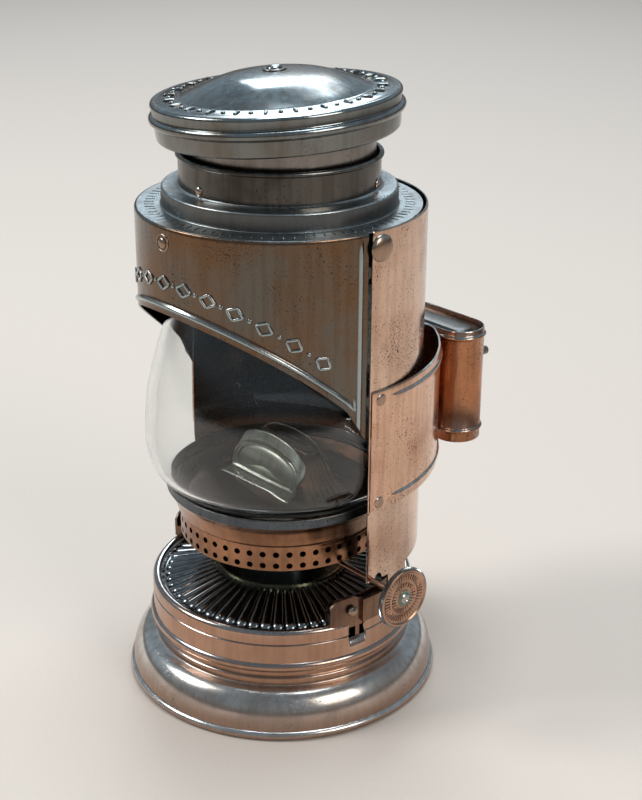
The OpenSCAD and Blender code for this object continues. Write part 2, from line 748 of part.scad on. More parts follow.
// The hollow cap: a rolled-under rim, a bead round the side, and a domed top.
module cap_pan() {
    line = concat(
        [[sleeve_r - 0.6, sleeve_z1], [34.8, sleeve_z1]],
        arc([cap_r - 2.9, cap_z0 + 1.1], 1.1, -90, 0, 4),
        [[cap_r - 1.5, 186.6]],
        arc([cap_r - 1.4, 188.3], 1.4, -80, 80, 6),
        [[cap_r - 1.3, 190.2]],
        arc([cap_r - 2.0, cap_z1 - 1.2], 1.2, 0, 90, 4),
        smooth([[34.5, cap_z1 + 0.1], [28.5, cap_z1 + 0.2], [24, 195.6], [16, 198.4], [8, 199.6], [1, 199.8]], 4));
    color(nickel) seated() rotate_extrude() polygon(wall(line, 0.7));
}

module cap_sleeve() {
    color(dark_nickel) seated() tube(sleeve_r, sleeve_r - 0.6, sleeve_z0, sleeve_z1);
}

module cap_knob() {
    color(nickel) seated() translate([0, 0, 199.6]) {
        cylinder(r = 3.6, h = 0.6);
        translate([0, 0, 0.6]) rivet(2.4, 1.1, 0.9, 1.4);
    }
}

foot_skirt();
foot_rim_wire();
font_wall();
font_bottom();
fluted_top();
font_collar();
burner_base();
gallery();
globe_seat_ring();
air_dome();
flame_deflector();
wick_tube();
shaft_bush();
wick_shaft();
spur_wheels();
thumb_wheel();
wheel_hub();
wick();
globe();
side_bracket_right();
side_bracket_left();
bracket_rivets();
shield();
pivot_rivets();
strap_band();
strap_rivets();
box_body();
box_floor();
box_lid();
back_studs();
hood_canopy();
hood_rivet();
top_plate();
neck_step();
neck_ring();
neck_studs();
cap_pan();
cap_sleeve();
cap_knob();
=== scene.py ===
import math

import bmesh
import bpy
from mathutils import Matrix, Vector


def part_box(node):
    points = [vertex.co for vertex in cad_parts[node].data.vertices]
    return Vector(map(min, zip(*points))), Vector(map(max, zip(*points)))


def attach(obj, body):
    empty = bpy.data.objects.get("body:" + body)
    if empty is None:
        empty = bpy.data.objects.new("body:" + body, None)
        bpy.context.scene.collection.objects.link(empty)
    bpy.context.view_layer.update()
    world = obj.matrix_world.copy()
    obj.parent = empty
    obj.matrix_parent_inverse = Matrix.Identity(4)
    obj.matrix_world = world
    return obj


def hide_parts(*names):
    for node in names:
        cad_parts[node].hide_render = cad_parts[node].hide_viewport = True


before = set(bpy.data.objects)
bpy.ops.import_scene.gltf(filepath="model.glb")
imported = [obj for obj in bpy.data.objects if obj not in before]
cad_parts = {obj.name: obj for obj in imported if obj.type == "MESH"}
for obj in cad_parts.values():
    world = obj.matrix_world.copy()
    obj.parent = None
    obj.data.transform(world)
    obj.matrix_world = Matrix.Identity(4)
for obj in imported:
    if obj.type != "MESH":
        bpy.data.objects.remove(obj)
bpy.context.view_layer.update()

# ---- The flared foot ---------------------------------------------------------
# One sheet of nickel-plated tin: a flat ledge under the font, a domed side that
# runs down steeply, and a rim rolled round a wire, on which the lantern stands.
MM = 0.001
scene = bpy.context.scene


def around(radius, degrees, r=0.0, z=0.0):
    """The point at a radius and an angle about (r, z)."""
    a = math.radians(degrees)
    return r + radius * math.cos(a), z + radius * math.sin(a)


def arc(r, z, radius, start, end, steps=10):
    """Points of an arc about (r, z) from one angle to another, in degrees."""
    return [around(radius, start + (end - start) * k / steps, r, z) for k in range(steps + 1)]


def between(p, q, r, s, t):
    """The value at a share t of the way from q to r, on a smooth curve through all four."""
    return 0.5 * (2 * q + (r - p) * t + (2 * p - 5 * q + 4 * r - s) * t ** 2
                  + (3 * q - p - 3 * r + s) * t ** 3)


def flowing(points, steps=6):
    """A smooth line through the points."""
    line = []
    for i in range(len(points) - 1):
        near = [points[min(max(i + k, 0), len(points) - 1)] for k in (-1, 0, 1, 2)]
        for k in range(steps):
            line.append(tuple(between(*values, k / steps) for values in zip(*near)))
    return line + [points[-1]]


def spread(low, high, steps):
    return [low + (high - low) * k / steps for k in range(steps + 1)]


def beside(line, gap):
    """The line moved sideways by gap, to its left."""
    moved = []
    for i, (r, z) in enumerate(line):
        before, after = line[max(i - 1, 0)], line[min(i + 1, len(line) - 1)]
        dr, dz = after[0] - before[0], after[1] - before[1]
        length = math.hypot(dr, dz)
        moved.append((r - gap * dz / length, z + gap * dr / length))
    return moved


def walled(line, gap):
    """A closed outline: the line, and back along it at a wall's thickness to its left."""
    return line + beside(line, gap)[::-1]


def joined(bm, rows, loop=False, flip=False):
    """Faces between neighbouring rows of points; a loop also joins each row's two ends."""
    for a, b in zip(rows, rows[1:]):
        for k in range(len(a) if loop else len(a) - 1):
            j = (k + 1) % len(a)
            corners = (a[k], a[j], b[j], b[k])
            bm.faces.new(corners[::-1] if flip else corners)


def new_piece(name, bm, material, sharp=32):
    """Makes an object of the mesh, smooth except along edges sharper than the angle."""
    bm.normal_update()
    for face in bm.faces:
        face.smooth = True
    for edge in bm.edges:
        edge.smooth = len(edge.link_faces) != 2 or edge.calc_face_angle(0) < math.radians(sharp)
    mesh = bpy.data.meshes.new(name)
    bm.to_mesh(mesh)
    bm.free()
    mesh.materials.append(material)
    made = bpy.data.objects.new(name, mesh)
    scene.collection.objects.link(made)
    return made


def settle(piece, body, slot, *nodes):
    """Says which body the piece rides on and hides the nodes it stands for; the slot is not used."""
    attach(piece, body)
    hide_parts(*nodes)


def spin(outline, turns=180):
    """A mesh of a closed outline of (radius, height) in mm, spun about the Z axis."""
    area = sum(a[0] * b[1] - b[0] * a[1] for a, b in zip(outline, outline[1:] + outline[:1]))
    points = outline if area > 0 else outline[::-1]
    bm = bmesh.new()
    rings = []
    for r, z in points:
        if r < 1e-6:
            rings.append([bm.verts.new((0, 0, z * MM))] * turns)
            continue
        angles = [2 * math.pi * k / turns for k in range(turns)]
        rings.append([bm.verts.new((r * MM * math.cos(a), r * MM * math.sin(a), z * MM)) for a in angles])
    for low, high in zip(rings, rings[1:] + rings[:1]):
        for k in range(turns):
            j = (k + 1) % turns
            corners = list(dict.fromkeys((low[k], low[j], high[j], high[k])))
            if len(corners) > 2:
                bm.faces.new(corners)
    return bm


def new_material(name):
    """A material, its node tree and its main shader's sockets."""
    material = bpy.data.materials.new(name)
    material.use_nodes = True
    return material, material.node_tree, material.node_tree.nodes["Principled BSDF"].inputs


def node(tree, kind, sockets=None, **settings):
    """Adds a node; a socket takes either a value or another node's output."""
    made = tree.nodes.new(kind)
    for key, value in settings.items():
        setattr(made, key, value)
    for key, value in (sockets or {}).items():
        if isinstance(value, bpy.types.NodeSocket):
            tree.links.new(value, made.inputs[key])
        else:
            made.inputs[key].default_value = value
    return made


def sums(tree, operation, a, b=0.0):
    return node(tree, "ShaderNodeMath", {0: a, 1: b}, operation=operation).outputs[0]


def blend_colour(tree, factor, a, b, kind="MIX"):
    return node(tree, "ShaderNodeMix", {0: factor, 6: a, 7: b}, data_type="RGBA", blend_type=kind).outputs[2]


def step_between(tree, value, low, high, to_low=0.0, to_high=1.0):
    sockets = {0: value, 1: low, 2: high, 3: to_low, 4: to_high}
    return node(tree, "ShaderNodeMapRange", sockets, interpolation_type="SMOOTHSTEP").outputs[0]


def noise(tree, point, scale, detail=3.0, rough=0.55):
    sockets = {"Vector": point, "Scale": scale, "Detail": detail, "Roughness": rough}
    return node(tree, "ShaderNodeTexNoise", sockets).outputs[0]


def shader_group(name, inputs, outputs):
    """An empty shader node group with named sockets."""
    tree = bpy.data.node_groups.new(name, "ShaderNodeTree")
    for way, sockets in (("INPUT", inputs), ("OUTPUT", outputs)):
        for socket, kind in sockets.items():
            tree.interface.new_socket(name=socket, in_out=way, socket_type="NodeSocket" + kind)
    return tree, tree.nodes.new("NodeGroupInput").outputs, tree.nodes.new("NodeGroupOutput").inputs


def make_pits():
    """Small dark pits that gather in patches where plating has failed."""
    inputs = {"Point": "Vector", "Size": "Float", "Amount": "Float"}
    tree, given, out = shader_group("plating pits", inputs, {"Mask": "Float", "Height": "Float"})
    scale = sums(tree, "DIVIDE", 1.0, given["Size"])
    fine = noise(tree, given["Point"], scale, 2.0, 0.6)
    patches = noise(tree, given["Point"], 70.0, 2.0)
    lean = sums(tree, "MULTIPLY", sums(tree, "SUBTRACT", patches, 0.5), 0.28)
    level = sums(tree, "ADD", sums(tree, "ADD", fine, lean), sums(tree, "MULTIPLY", given["Amount"], 0.1))
    mask = step_between(tree, level, 0.74, 0.80)
    tree.links.new(mask, out["Mask"])
    tree.links.new(sums(tree, "MULTIPLY", mask, -1.0), out["Height"])
    return tree


def make_tarnish():
    """Cloudy tarnish and faint upright streaks, such as hands and weather leave on plate."""
    tree, given, out = shader_group(
        "tarnish", {"Point": "Vector", "Strength": "Float"}, {"Cloud": "Float", "Streak": "Float"})
    cloud = noise(tree, given["Point"], 42.0, 4.0, 0.6)
    stretched = node(tree, "ShaderNodeMapping", {0: given["Point"], 3: (1.0, 1.0, 0.07)}).outputs[0]
    streak = noise(tree, stretched, 420.0, 3.0, 0.6)
    for name, value, low, high in (("Cloud", cloud, 0.38, 0.68), ("Streak", streak, 0.42, 0.66)):
        clouded = step_between(tree, value, low, high)
        tree.links.new(sums(tree, "MULTIPLY", clouded, given["Strength"]), out[name])
    return tree


PITS = make_pits()
TARNISH = make_tarnish()
PIT_COLOUR = (0.035, 0.026, 0.02, 1)
# Rubbed wear with a painted bluish highlight, laid on raised beads and ornament.
RUBBED_HIGHLIGHT_COLOUR = (0.40, 0.46, 0.47, 1)
SOOT_COLOUR = (0.085, 0.105, 0.112, 1)
DENT_DEPTH = 0.06 * MM


def plated(name, upright, painted_sky_reflection, stain, rough, pit_mm=0.5, pits=0.5, tarnish=0.6, bump=0.25,
           soot_mm=0.0, rubbed_highlight_mm=0.0):
    """Old nickel plate: tarnish with a painted warm reflection on upright faces, and a painted pale sky
    reflection where faces look up. Faces nearer the axis than soot_mm are smoked, and those beyond
    rubbed_highlight_mm are rubbed bright with a painted bluish highlight."""
    material, tree, surface = new_material(name)
    place = node(tree, "ShaderNodeTexCoord")
    point = place.outputs["Object"]
    up = node(tree, "ShaderNodeSeparateXYZ", {0: place.outputs["Normal"]}).outputs[2]
    marks = node(tree, "ShaderNodeGroup", node_tree=PITS)
    tree.links.new(point, marks.inputs["Point"])
    marks.inputs["Size"].default_value = pit_mm * MM
    marks.inputs["Amount"].default_value = pits
    cloudy = node(tree, "ShaderNodeGroup", node_tree=TARNISH)
    tree.links.new(point, cloudy.inputs["Point"])
    cloudy.inputs["Strength"].default_value = tarnish
    # Painted light: the upright colour is tarnish plus a painted warm reflection of the surroundings, and the
    # upward colour is a painted reflection of the pale sky above. Faces blend between the two by how far they
    # look up.
    facing = step_between(tree, up, 0.05, 0.8)
    colour = blend_colour(tree, facing, (*upright, 1), (*painted_sky_reflection, 1))
    colour = blend_colour(tree, cloudy.outputs["Cloud"], colour, (*stain, 1))
    streaky = sums(tree, "MULTIPLY", cloudy.outputs["Streak"], 0.35)
    colour = blend_colour(tree, streaky, colour, (*(0.55 * c for c in stain), 1))
    pitted = sums(tree, "MULTIPLY", marks.outputs["Mask"], 0.85)
    colour = blend_colour(tree, pitted, colour, PIT_COLOUR)
    if soot_mm or rubbed_highlight_mm:
        across = node(tree, "ShaderNodeSeparateXYZ", {0: point}).outputs
        squares = [sums(tree, "MULTIPLY", across[i], across[i]) for i in (0, 1)]
        reach = sums(tree, "ADD", *squares)
    # Painted highlight: faces farther out than the worn radius, the raised beads and ornament, are rubbed
    # bright and given a painted bluish sky highlight.
    if rubbed_highlight_mm:
        rubbed_from, rubbed_to = (rubbed_highlight_mm * MM) ** 2, ((rubbed_highlight_mm + 0.3) * MM) ** 2
        rubbed = step_between(tree, reach, rubbed_from, rubbed_to, 0.0, 0.85)
        colour = blend_colour(tree, rubbed, colour, RUBBED_HIGHLIGHT_COLOUR)
    if soot_mm:
        inside = sums(tree, "LESS_THAN", reach, (soot_mm * MM) ** 2)
        colour = blend_colour(tree, sums(tree, "MULTIPLY", inside, 0.93), colour, SOOT_COLOUR)
    uneven = sums(tree, "MULTIPLY", cloudy.outputs["Cloud"], 0.14)
    dull = sums(tree, "MULTIPLY", marks.outputs["Mask"], 0.4)
    rough_now = sums(tree, "ADD", sums(tree, "ADD", uneven, dull), rough)
    tree.links.new(colour, surface["Base Color"])
    tree.links.new(rough_now, surface["Roughness"])
    grain = sums(tree, "MULTIPLY", noise(tree, point, 900.0), 0.25)
    relief = sums(tree, "ADD", marks.outputs["Height"], grain)
    dents = node(tree, "ShaderNodeBump", {"Strength": bump, "Distance": DENT_DEPTH, "Height": relief})
    tree.links.new(dents.outputs[0], surface["Normal"])
    surface["Metallic"].default_value = 1.0
    return material


foot_plate = plated("satin nickel of the foot", (0.40, 0.27, 0.21), (0.80, 0.84, 0.85),
                    (0.34, 0.27, 0.22), 0.17, pit_mm=0.42, pits=0.7, bump=0.35)
foot_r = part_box("foot_skirt")[1].x / MM
foot_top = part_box("foot_skirt")[1].z / MM
roll_r = 1.5
roll_at = (foot_r - roll_r, 1.4)
join = around(roll_r, 75, *roll_at)
ledge = [(38.0, foot_top), (42.9, foot_top)] + arc(42.9, foot_top - 0.25, 0.25, 80, 10, 3)
side = [(43.5 + (join[0] - 43.5) * math.sin(math.radians(t)),
         join[1] + (foot_top - 0.6 - join[1]) * math.cos(math.radians(t))) for t in range(4, 91, 4)]
side += [join]
skin = ledge + side
sheet_mm = 0.8
roll = [(r, max(z, 0.0)) for r, z in arc(*roll_at, roll_r, 65, -255, 30)]
foot = new_piece("foot", spin(skin + roll + beside(skin, -sheet_mm)[::-1][1:]), foot_plate)
settle(foot, "lantern", "foot_nickel", "foot_skirt", "foot_rim_wire")

# ---- The oil font ------------------------------------------------------------
# A round tank of nickel-plated tin that holds the kerosene: a half-round bead, two
# scored lines and a rounded rim are rolled into its wall, and its bottom is soldered in.
font_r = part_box("font_wall")[1].x / MM
font_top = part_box("font_wall")[1].z / MM
font_plate = plated("nickel of the font", (0.50, 0.30, 0.21), (0.46, 0.51, 0.54),
                    (0.36, 0.20, 0.13), 0.14, pit_mm=0.4, pits=0.35)


def scored(z, r=font_r):
    """A fine line cut into the wall."""
    return [(r, z - 0.35), (r - 0.12, z - 0.18), (r - 0.45, z), (r - 0.12, z + 0.18), (r, z + 0.35)]


font_skin = [(font_r - 0.4, foot_top), (font_r - 0.4, 17.2)] + scored(17.7, font_r - 0.3)
font_skin += [(font_r - 0.1, 18.6), (font_r, 19.6)] + arc(font_r - 0.65, 21.6, 1.7, -66, 66, 14)
font_skin += [(font_r, 23.7)] + scored(29.7) + [(font_r, 30.6), (font_r, font_top - 1.7)]
font_skin += arc(font_r - 1.6, font_top - 1.6, 1.6, 0, 155, 16)
font_skin += [(39.6, 32.6), (40.6, 31.6), (41.0, 29.0), (41.0, foot_top)]
font = new_piece("oil_font", spin(font_skin, 240), font_plate)


def box_mesh(low, high):
    """A plain block used only to cut with."""
    bm = bmesh.new()
    bmesh.ops.create_cube(bm, size=1.0)
    for v in bm.verts:
        v.co = Vector([low[i] if v.co[i] < 0 else high[i] for i in range(3)]) * MM
    return bm


def cut_away(piece, cutter_bm):
    """Cuts the cutter's shape out of the piece, and leaves a plain mesh."""
    cutter = new_piece("cutter", cutter_bm, piece.data.materials[0])
    tool = piece.modifiers.new("cut", "BOOLEAN")
    tool.object = cutter
    tool.solver = "EXACT"
    bpy.context.view_layer.update()
    made = bpy.data.meshes.new_from_object(piece.evaluated_get(bpy.context.evaluated_depsgraph_get()))
    piece.modifiers.clear()
    piece.data = made
    bpy.data.objects.remove(cutter)


SLOT_TURNS = (-7, 187)
for turn in SLOT_TURNS:
    slot_bm = box_mesh((39.5, -3.1, 28.7), (43.5, 3.3, 33.8))
    slot_bm.transform(Matrix.Rotation(math.radians(turn), 4, "Z"))
    cut_away(font, slot_bm)
settle(font, "lantern", "foot_nickel", "font_wall")

inner_tin = plated("dull inner tin", (0.20, 0.17, 0.15), (0.24, 0.21, 0.19), (0.12, 0.09, 0.07),
                   0.42, pits=0.8)
bottom = new_piece("font_floor", spin([(0.0, 15.1), (41.0, 15.1), (41.0, 15.9), (0.0, 15.9)]), inner_tin)
settle(bottom, "lantern", "inner_tin", "font_bottom")

# ---- The fluted top of the font ----------------------------------------------
# A shallow cone of dark plate, pressed into sixty rounded ribs that stiffen it. Each rib
# ends in a rounded nose near the rim, and all of them run in under the burner.
flute_plate = plated("dark plate of the flutes", (0.11, 0.12, 0.13), (0.30, 0.35, 0.38),
                     (0.07, 0.07, 0.07), 0.13, pits=0.25, bump=0.15)
FLUTES = 60
VALLEYS = [(40.2, 32.4), (39.0, 32.45), (38.1, 32.75), (23.2, 36.6), (19.8, 37.0)]


def ring_tree():
    """Places copies of an item round the axis; the item points along +X."""
    tree = bpy.data.node_groups.new("ring of parts", "GeometryNodeTree")
    kinds = {"Item": "Object", "Count": "Int", "Start": "Float", "Step": "Float", "Radius": "Float",
             "Height": "Float", "Material": "Material"}
    for name, kind in kinds.items():
        tree.interface.new_socket(name=name, in_out="INPUT", socket_type="NodeSocket" + kind)
    tree.interface.new_socket(name="Geometry", in_out="OUTPUT", socket_type="NodeSocketGeometry")
    given = tree.nodes.new("NodeGroupInput").outputs
    out = tree.nodes.new("NodeGroupOutput").inputs
    index = tree.nodes.new("GeometryNodeInputIndex").outputs[0]
    angle = sums(tree, "ADD", sums(tree, "MULTIPLY", index, given["Step"]), given["Start"])
    x = sums(tree, "MULTIPLY", sums(tree, "COSINE", angle), given["Radius"])
    y = sums(tree, "MULTIPLY", sums(tree, "SINE", angle), given["Radius"])
    place = node(tree, "ShaderNodeCombineXYZ", {0: x, 1: y, 2: given["Height"]}).outputs[0]
    turn = node(tree, "ShaderNodeCombineXYZ", {2: angle}).outputs[0]
    points = node(tree, "GeometryNodePoints", {"Count": given["Count"], "Position": place}).outputs[0]
    item = node(tree, "GeometryNodeObjectInfo", {"Object": given["Item"]}).outputs["Geometry"]
    placed = {"Points": points, "Instance": item, "Rotation": turn}
    copies = node(tree, "GeometryNodeInstanceOnPoints", placed).outputs[0]
    real = node(tree, "GeometryNodeRealizeInstances", {0: copies}).outputs[0]
    coated = {"Geometry": real, "Material": given["Material"]}
    tree.links.new(node(tree, "GeometryNodeSetMaterial", coated).outputs[0], out[0])
    return tree


RING = ring_tree()


def grown(tree, item_bm, material, **inputs):
    """Runs a geometry tree on an item and gives back the mesh that it makes."""
    item = new_piece("item", item_bm, material)
    host = bpy.data.objects.new("host", bpy.data.meshes.new("host"))
    scene.collection.objects.link(host)
    modifier = host.modifiers.new("grow", "NODES")
    modifier.node_group = tree
    values = dict(inputs, Item=item, Material=material)
    for socket in tree.interface.items_tree:
        if socket.in_out == "INPUT":
            modifier[socket.identifier] = values[socket.name]
    bpy.context.view_layer.update()
    made = bpy.data.meshes.new_from_object(host.evaluated_get(bpy.context.evaluated_depsgraph_get()))
    bm = bmesh.new()
    bm.from_mesh(made)
    for leftover in (host, item):
        bpy.data.objects.remove(leftover)
    return bm


def ring_of(item_bm, material, count, start=0.0, step=None, radius=0.0, height=0.0):
    """Copies of an item round the axis; angles in degrees from +X, sizes in mm."""
    step = 360.0 / count if step is None else step
    return grown(RING, item_bm, material, Count=count, Start=math.radians(start),
                 Step=math.radians(step), Radius=radius * MM, Height=height * MM)


def valley(r):
    """Height of the cone between its ribs."""
    for (r1, z1), (r0, z0) in zip(VALLEYS, VALLEYS[1:]):
        if r0 <= r <= r1:
            return z0 + (z1 - z0) * (r - r0) / (r1 - r0)
    return VALLEYS[-1][1]


def rib_item():
    """One rib: a half-round ridge that narrows inwards, with a rounded outer nose."""
    bm = bmesh.new()
    stations = [39.1 - 1.9 * (1 - math.cos(math.radians(a))) for a in range(0, 91, 15)]
    stations += [37.0 - k * 1.05 for k in range(1, 17)]
    rows = []
    for r in stations:
        nose = math.sqrt(max(0.0, 1 - max(0.0, (r - 37.2) / 1.9) ** 2))
        half = math.pi * r / FLUTES * 0.94 * max(nose, 0.03)
        rise = (0.75 + 0.5 * (r - 20.0) / 18.0) * nose
        row = []
        for k in range(9):
            across = math.radians(180 - 22.5 * k)
            row.append(bm.verts.new((r * MM, half * math.cos(across) * MM,
                                     (valley(r) - 0.1 + (rise + 0.1) * math.sin(across) ** 0.6) * MM)))
        rows.append(row)
    joined(bm, rows, loop=True)
    bm.faces.new(rows[0][::-1])
    bm.faces.new(rows[-1])
    bmesh.ops.recalc_face_normals(bm, faces=bm.faces)
    return bm


cone = new_piece("font_top_cone", spin(walled(VALLEYS, 0.8)), flute_plate)
settle(cone, "lantern", "fluted_tin", "fluted_top")
ribs = new_piece("font_top_ribs", ring_of(rib_item(), flute_plate, FLUTES), flute_plate, sharp=50)
settle(ribs, "lantern", "fluted_tin", "fluted_top")

# ---- The burner's base -------------------------------------------------------
# Cast and turned brass: a collar soldered into the font, a screwed flange with a
# toothed grip round its edge, the neck above it, and the bush for the wick shaft.


def from_cad(name, cad_node, material, bevel_mm):
    """The engineered solid itself, with its faces joined up and its edges broken."""
    bm = bmesh.new()
    bm.from_mesh(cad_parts[cad_node].data)
    bmesh.ops.remove_doubles(bm, verts=bm.verts, dist=0.002 * MM)
    bmesh.ops.dissolve_limit(bm, angle_limit=math.radians(0.5), verts=bm.verts, edges=bm.edges)
    made = new_piece(name, bm, material)
    edge = made.modifiers.new("broken edges", "BEVEL")
    edge.width = bevel_mm * MM
    edge.segments = 2
    edge.limit_method = "ANGLE"
    edge.angle_limit = math.radians(50)
    return made


burner_metal = plated("brown burner brass", (0.27, 0.155, 0.10), (0.34, 0.22, 0.16),
                      (0.14, 0.08, 0.05), 0.24, pit_mm=0.35, pits=0.45)
flange_metal = plated("greenish brass of the flange", (0.17, 0.165, 0.125), (0.42, 0.46, 0.38),
                      (0.10, 0.10, 0.07), 0.22, pits=0.4, soot_mm=21.0)
for name, cad_node, metal in (("font_collar_ring", "font_collar", burner_metal),
                              ("burner_seat", "burner_base", flange_metal),
                              ("shaft_bearing", "shaft_bush", burner_metal),
                              ("flat_wick_tube", "wick_tube", burner_metal)):
    settle(from_cad(name, cad_node, metal, 0.08), "lantern", "burner_brass", cad_node)

# ---- The gallery -------------------------------------------------------------
# Thin brass: a floor, an upright band with two rows of round air holes, a crease, and a
# bell that opens upwards to carry the globe's seat. It is one pressing on the real burner.
gallery_metal = plated("coppery gallery brass", (0.38, 0.19, 0.105), (0.36, 0.22, 0.15),
                       (0.18, 0.09, 0.055), 0.18, pit_mm=0.35, pits=0.35, tarnish=0.8)
HOLES = 50
BAND_R = 33.4
BAND_LOW = 50.7
BAND_HIGH = 58.0
HOLE_ROWS = (52.4, 56.3)
HOLE_R = 1.0
BAND_WALL = 0.7


def holed_cell():
    """One pitch of the band, with a round hole in each row, bent to the band's radius."""
    bm = bmesh.new()
    half = math.pi * BAND_R / HOLES
    sides = 16
    middle = sum(HOLE_ROWS) / 2
    spans = ((BAND_LOW, middle, HOLE_ROWS[0]), (middle, BAND_HIGH, HOLE_ROWS[1]))
    skins = []
    for r in (BAND_R, BAND_R - BAND_WALL):
        skin = []
        for low, high, centre in spans:
            hole, edge = [], []
            for k in range(sides):
                a = 2 * math.pi * (k + 0.5) / sides
                across, rise = math.cos(a), math.sin(a)
                hole.append((HOLE_R * across, centre + HOLE_R * rise))
                reach = 1 / max(abs(across), abs(rise))
                tall = (high - centre) if rise > 0 else (centre - low)
                edge.append((half * across * reach, centre + tall * rise * reach))
            for corner in ((half, high), (-half, high), (-half, low), (half, low)):
                nearest = min(range(sides), key=lambda k: math.dist(edge[k], corner))
                edge[nearest] = corner
            for ring in (hole, edge):
                bent = [(r * math.cos(x / BAND_R), r * math.sin(x / BAND_R), z) for x, z in ring]
                skin.append([bm.verts.new(Vector(spot) * MM) for spot in bent])
        skins.append(skin)
    outer, inner = skins
    for row in (0, 2):
        for k in range(sides):
            j = (k + 1) % sides
            bm.faces.new((outer[row][k], outer[row + 1][k], outer[row + 1][j], outer[row][j]))
            bm.faces.new((inner[row][j], inner[row + 1][j], inner[row + 1][k], inner[row][k]))
            bm.faces.new((outer[row][k], outer[row][j], inner[row][j], inner[row][k]))
    return bm


band_bm = ring_of(holed_cell(), gallery_metal, HOLES)
bmesh.ops.remove_doubles(band_bm, verts=band_bm.verts, dist=0.02 * MM)
band_edges = [e for e in band_bm.edges if len(e.link_faces) == 1]
for level in (BAND_LOW, BAND_HIGH):
    rims = [e for e in band_edges if e.is_valid and abs(e.verts[0].co.z - level * MM) < 0.1 * MM]
    bmesh.ops.bridge_loops(band_bm, edges=rims)
bmesh.ops.recalc_face_normals(band_bm, faces=band_bm.faces)
band = new_piece("gallery_band", band_bm, gallery_metal, sharp=40)
settle(band, "lantern", "burner_brass", "gallery")
bell_line = [(BAND_R + 0.05, 57.7), (BAND_R + 0.1, 58.2)] + arc(BAND_R + 0.45, 58.8, 0.45, 200, 120, 4)
bell_line += flowing([(34.2, 59.8), (34.9, 62.0), (36.1, 65.0), (37.0, 66.6), (37.2, 67.0)], 5)
bell = new_piece("gallery_bell", spin(walled(bell_line, 0.7)), gallery_metal)
settle(bell, "lantern", "burner_brass", "gallery")
floor_line = [(13.8, 49.9), (31.9, 49.9)] + arc(31.9, 51.4, 1.5, -85, 0, 8)
floor_line += [(BAND_R, 51.5), (BAND_R - BAND_WALL, 51.5), (32.2, 50.9), (31.6, 50.7), (13.8, 50.7)]
pan = new_piece("gallery_floor", spin(floor_line), gallery_metal)
settle(pan, "lantern", "burner_brass", "gallery")

# ---- The globe's seat and the air dome ---------------------------------------
# A dark rolled ring with a bright lower edge holds the globe's foot. The shallow brass dome
# inside it turns the air in to the flame, and years of heat have left it glossy brown.
seat_steel = plated("dark seat ring", (0.11, 0.125, 0.14), (0.20, 0.19, 0.18), (0.05, 0.05, 0.05),
                    0.3, pit_mm=0.5, pits=1.6, bump=0.6)
seat_low, seat_high = (z.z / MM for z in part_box("globe_seat_ring"))
seat_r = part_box("globe_seat_ring")[1].x / MM
seat_line = [(34.6, seat_low), (seat_r - 0.5, seat_low)]
seat_line += arc(seat_r - 0.45, seat_low + 0.45, 0.45, -80, 0, 5)
seat_line += [(seat_r - 0.12, seat_low + 0.9), (seat_r - 0.05, seat_high - 0.5)]
seat_line += arc(seat_r - 0.35, seat_high - 0.3, 0.3, 0, 180, 8)
seat_line += [(seat_r - 0.65, seat_low + 0.8), (34.6, seat_low + 0.8)]
seat = new_piece("globe_seat", spin(seat_line), seat_steel)
settle(seat, "lantern", "seat_steel", "globe_seat_ring")

dome_brass = plated("scorched dome brass", (0.075, 0.042, 0.034), (0.075, 0.043, 0.036),
                    (0.035, 0.02, 0.016), 0.1, pit_mm=1.1, pits=0.6, tarnish=0.9, bump=0.06)
dome_line = flowing([(12.0, 68.2), (18.0, 67.9), (24.0, 67.1), (30.0, 65.6), (33.6, 63.8), (34.5, 62.8)], 6)
dome = new_piece("air_dome_sheet", spin(walled(dome_line, -0.6)), dome_brass)
settle(dome, "lantern", "dome_brass", "air_dome")

# ---- The flame deflector -----------------------------------------------------
# Two pressed D-shaped plates lean together over the wick, each with a double line round its
# edge and a curved lip above, and leave a slot for the flame. Pleated ends join them.
deflector_steel = plated("grey-green deflector plate", (0.27, 0.29, 0.255), (0.36, 0.38, 0.34),
                         (0.15, 0.155, 0.13), 0.27, pit_mm=0.5, pits=0.4, tarnish=0.9)
pleat_brown = plated("brown pleated ends", (0.19, 0.10, 0.06), (0.24, 0.14, 0.09),
                     (0.08, 0.045, 0.03), 0.2, pits=0.5, tarnish=0.9)
SLOT_Y = 0.8
D_LOW = 69.2
D_HALF = 16.0


def plate_lean(z):
    """How far the plate stands from the slot's middle at a height."""
    return 9.2 - (z - 66.5) * 0.289


def d_outline(grow=0.0):
    """The D: a straight foot with small round corners, short legs and a curved top."""
    half, top = D_HALF + grow, 79.9 + grow
    legs = 72.0
    line = [(half - 0.8 + 0.8 * math.sin(math.radians(a)), D_LOW + 0.8 - 0.8 * math.cos(math.radians(a)))
            for a in (0, 30, 60, 90)]
    line += [(half * math.cos(math.radians(a)), legs + (top - legs) * math.sin(math.radians(a)) ** 0.78)
             for a in range(0, 181, 6)]
    return line + [(-x, z) for x, z in line[3::-1]]


